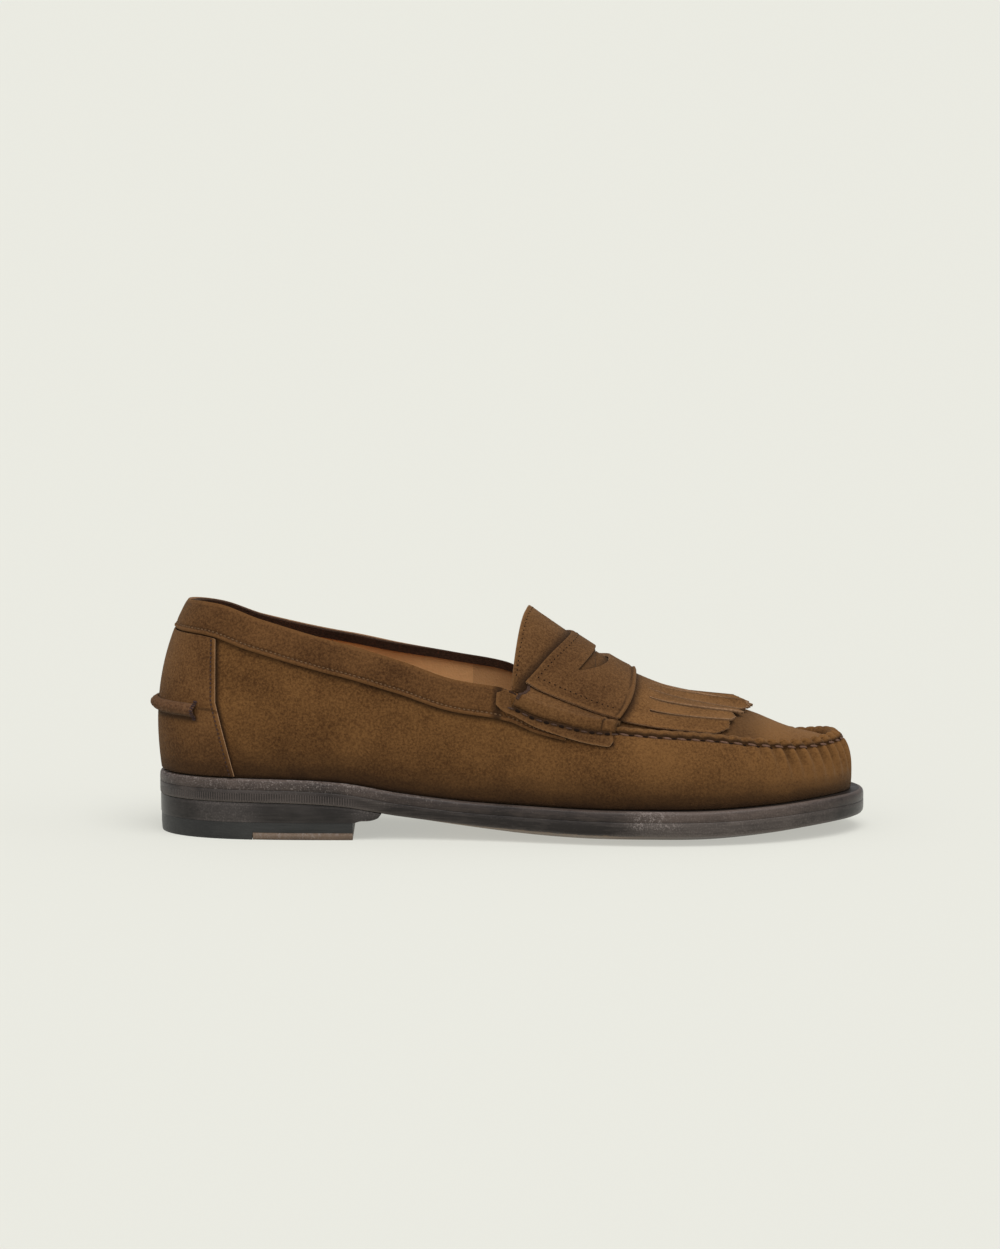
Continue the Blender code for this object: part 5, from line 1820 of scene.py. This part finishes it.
for inner_side, label in ((False, "outer"), (True, "inner")):
    roll = sheet_piece(
        "strap_roll_padding_" + label, (ROLL_COLUMNS, ROLL_ROWS), roll_place_on(inner_side), 0.0006,
        "suede", (roll_suede,),
    )
    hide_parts("strap_roll_" + label)
    flap = sheet_piece(
        "strap_tail_" + label, (FLAP_COLUMNS, FLAP_ROWS), flap_place_on(inner_side), FLAP_THICKNESS,
        "suede", (strap_suede, cut_suede), edge=0.0003,
    )
    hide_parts("strap_flap_" + label)
    path = []
    for k in range(81):
        share = mix(ROLL_REAR_SHARE["wall"], ROLL_FRONT_SHARE["wall"], k / 80)
        u = around(share, inner_side)
        v = wall_drop(u, mix(ROLL_DROP["rear"], ROLL_DROP["front"], k / 80) + 0.0006)
        path.append((on_wall(u, v, flap_height(share) + 0.0002), wall_normal(u, v)))
    thread = bead_shape(stitch_spots(path, ROLL_STITCH_PITCH), (0.0030, 0.0008, 0.0008))
    roll_place = roll_place_on(inner_side)
    for k in range(BAR_TACK_THREADS):
        column = mix(0.009, 0.027, k / (BAR_TACK_THREADS - 1)) * ROLL_COLUMNS
        tack = []
        for n in range(25):
            row = mix(0.30, 0.97, n / 24) * ROLL_ROWS
            point, raised = roll_place(column, row, 0.0002)[0], roll_place(column, row, 0.0012)[0]
            tack.append((point, (raised - point).normalized()))
        strands = bead_shape(stitch_spots(tack, 0.0009), (0.0014, 0.0006, 0.0006))
        strand_mesh = bpy.data.meshes.new("strands")
        strands.to_mesh(strand_mesh)
        strands.free()
        thread.from_mesh(strand_mesh)
        bpy.data.meshes.remove(strand_mesh)
    made_piece("strap_roll_thread_" + label, thread, "suede", purple_thread)
    between = ROLL_STITCH_PITCH / 2
    holes = stitch_spots(path, ROLL_STITCH_PITCH, first=between, last=between)
    made_piece("strap_roll_holes_" + label, bead_shape(holes, (0.0024, 0.0012, 0.0007)), "suede", hole_shade_material)

# The insole
# A tan leather sock over the insole board, as the frame has it.
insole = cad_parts["insole"]
insole.data.materials.clear()
insole.data.materials.append(lining_leather)

# The picture
# A plain pale floor under even studio light, seen from the shoe's outer side, a little from above.
FLOOR_SIZE = 80.0
floor_shape = bmesh.new()
bmesh.ops.create_grid(floor_shape, x_segments=1, y_segments=1, size=FLOOR_SIZE / 2)
floor_mesh = bpy.data.meshes.new("floor")
floor_shape.to_mesh(floor_mesh)
floor_shape.free()
floor_paper = new_material(
    "floor_paper",
    {
        "Roughness": 1.0,
        "Specular IOR Level": 0.0,
        "Base Color": (0.34, 0.34, 0.312, 1.0),
        "Emission Color": (0.80, 0.80, 0.735, 1.0),
        "Emission Strength": 0.555,
    },
)[0]
floor_mesh.materials.append(floor_paper)
floor = bpy.data.objects.new("floor", floor_mesh)
bpy.context.scene.collection.objects.link(floor)

SKY_STRENGTH = 0.50
world = bpy.data.worlds.new("studio")
bpy.context.scene.world = world
world.use_nodes = True
world.node_tree.nodes["Background"].inputs["Color"].default_value = (1.0, 1.0, 1.0, 1.0)
world.node_tree.nodes["Background"].inputs["Strength"].default_value = SKY_STRENGTH

LAMPS = {
    "columns": ("name", "strength", "spread", "turn"),
    "rows": (
        ("key", 1.75, 45, (26, 0, 18)),
        ("fill", 0.50, 60, (60, 0, -30)),
        ("toe", 0.30, 50, (62, 0, 78)),
    ),
}
for name, strength, spread, turn in LAMPS["rows"]:
    lamp = bpy.data.lights.new(name, "SUN")
    lamp.energy = strength
    lamp.angle = math.radians(spread)
    lamp_object = bpy.data.objects.new(name, lamp)
    lamp_object.rotation_euler = [math.radians(angle) for angle in turn]
    bpy.context.scene.collection.objects.link(lamp_object)

CAMERA_DISTANCE = 2.6
CAMERA_RISE = math.radians(7)
SENSOR_WIDTH = 36.0
FRAME_WIDTH = 0.42
LOOK_AT = Vector((0.1139, 0.0, 0.050))
MOVED_BACK = 0.00504
MOVED_UP = 0.0358
camera_data = bpy.data.cameras.new("camera")
camera_data.sensor_fit = "HORIZONTAL"
camera_data.sensor_width = SENSOR_WIDTH
camera_data.lens = SENSOR_WIDTH / FRAME_WIDTH * CAMERA_DISTANCE
camera_data.clip_end = 200.0
camera = bpy.data.objects.new("camera", camera_data)
camera_up = Vector((0.0, math.sin(CAMERA_RISE), math.cos(CAMERA_RISE)))
camera_back = Vector((0.0, -math.cos(CAMERA_RISE), math.sin(CAMERA_RISE)))
camera_shift = camera_up * MOVED_UP - Vector((MOVED_BACK, 0.0, 0.0))
camera.location = LOOK_AT + camera_back * CAMERA_DISTANCE + camera_shift
camera.rotation_euler = (math.pi / 2 - CAMERA_RISE, 0.0, 0.0)
bpy.context.scene.collection.objects.link(camera)
bpy.context.scene.camera = camera
bpy.context.scene.view_settings.view_transform = "Standard"
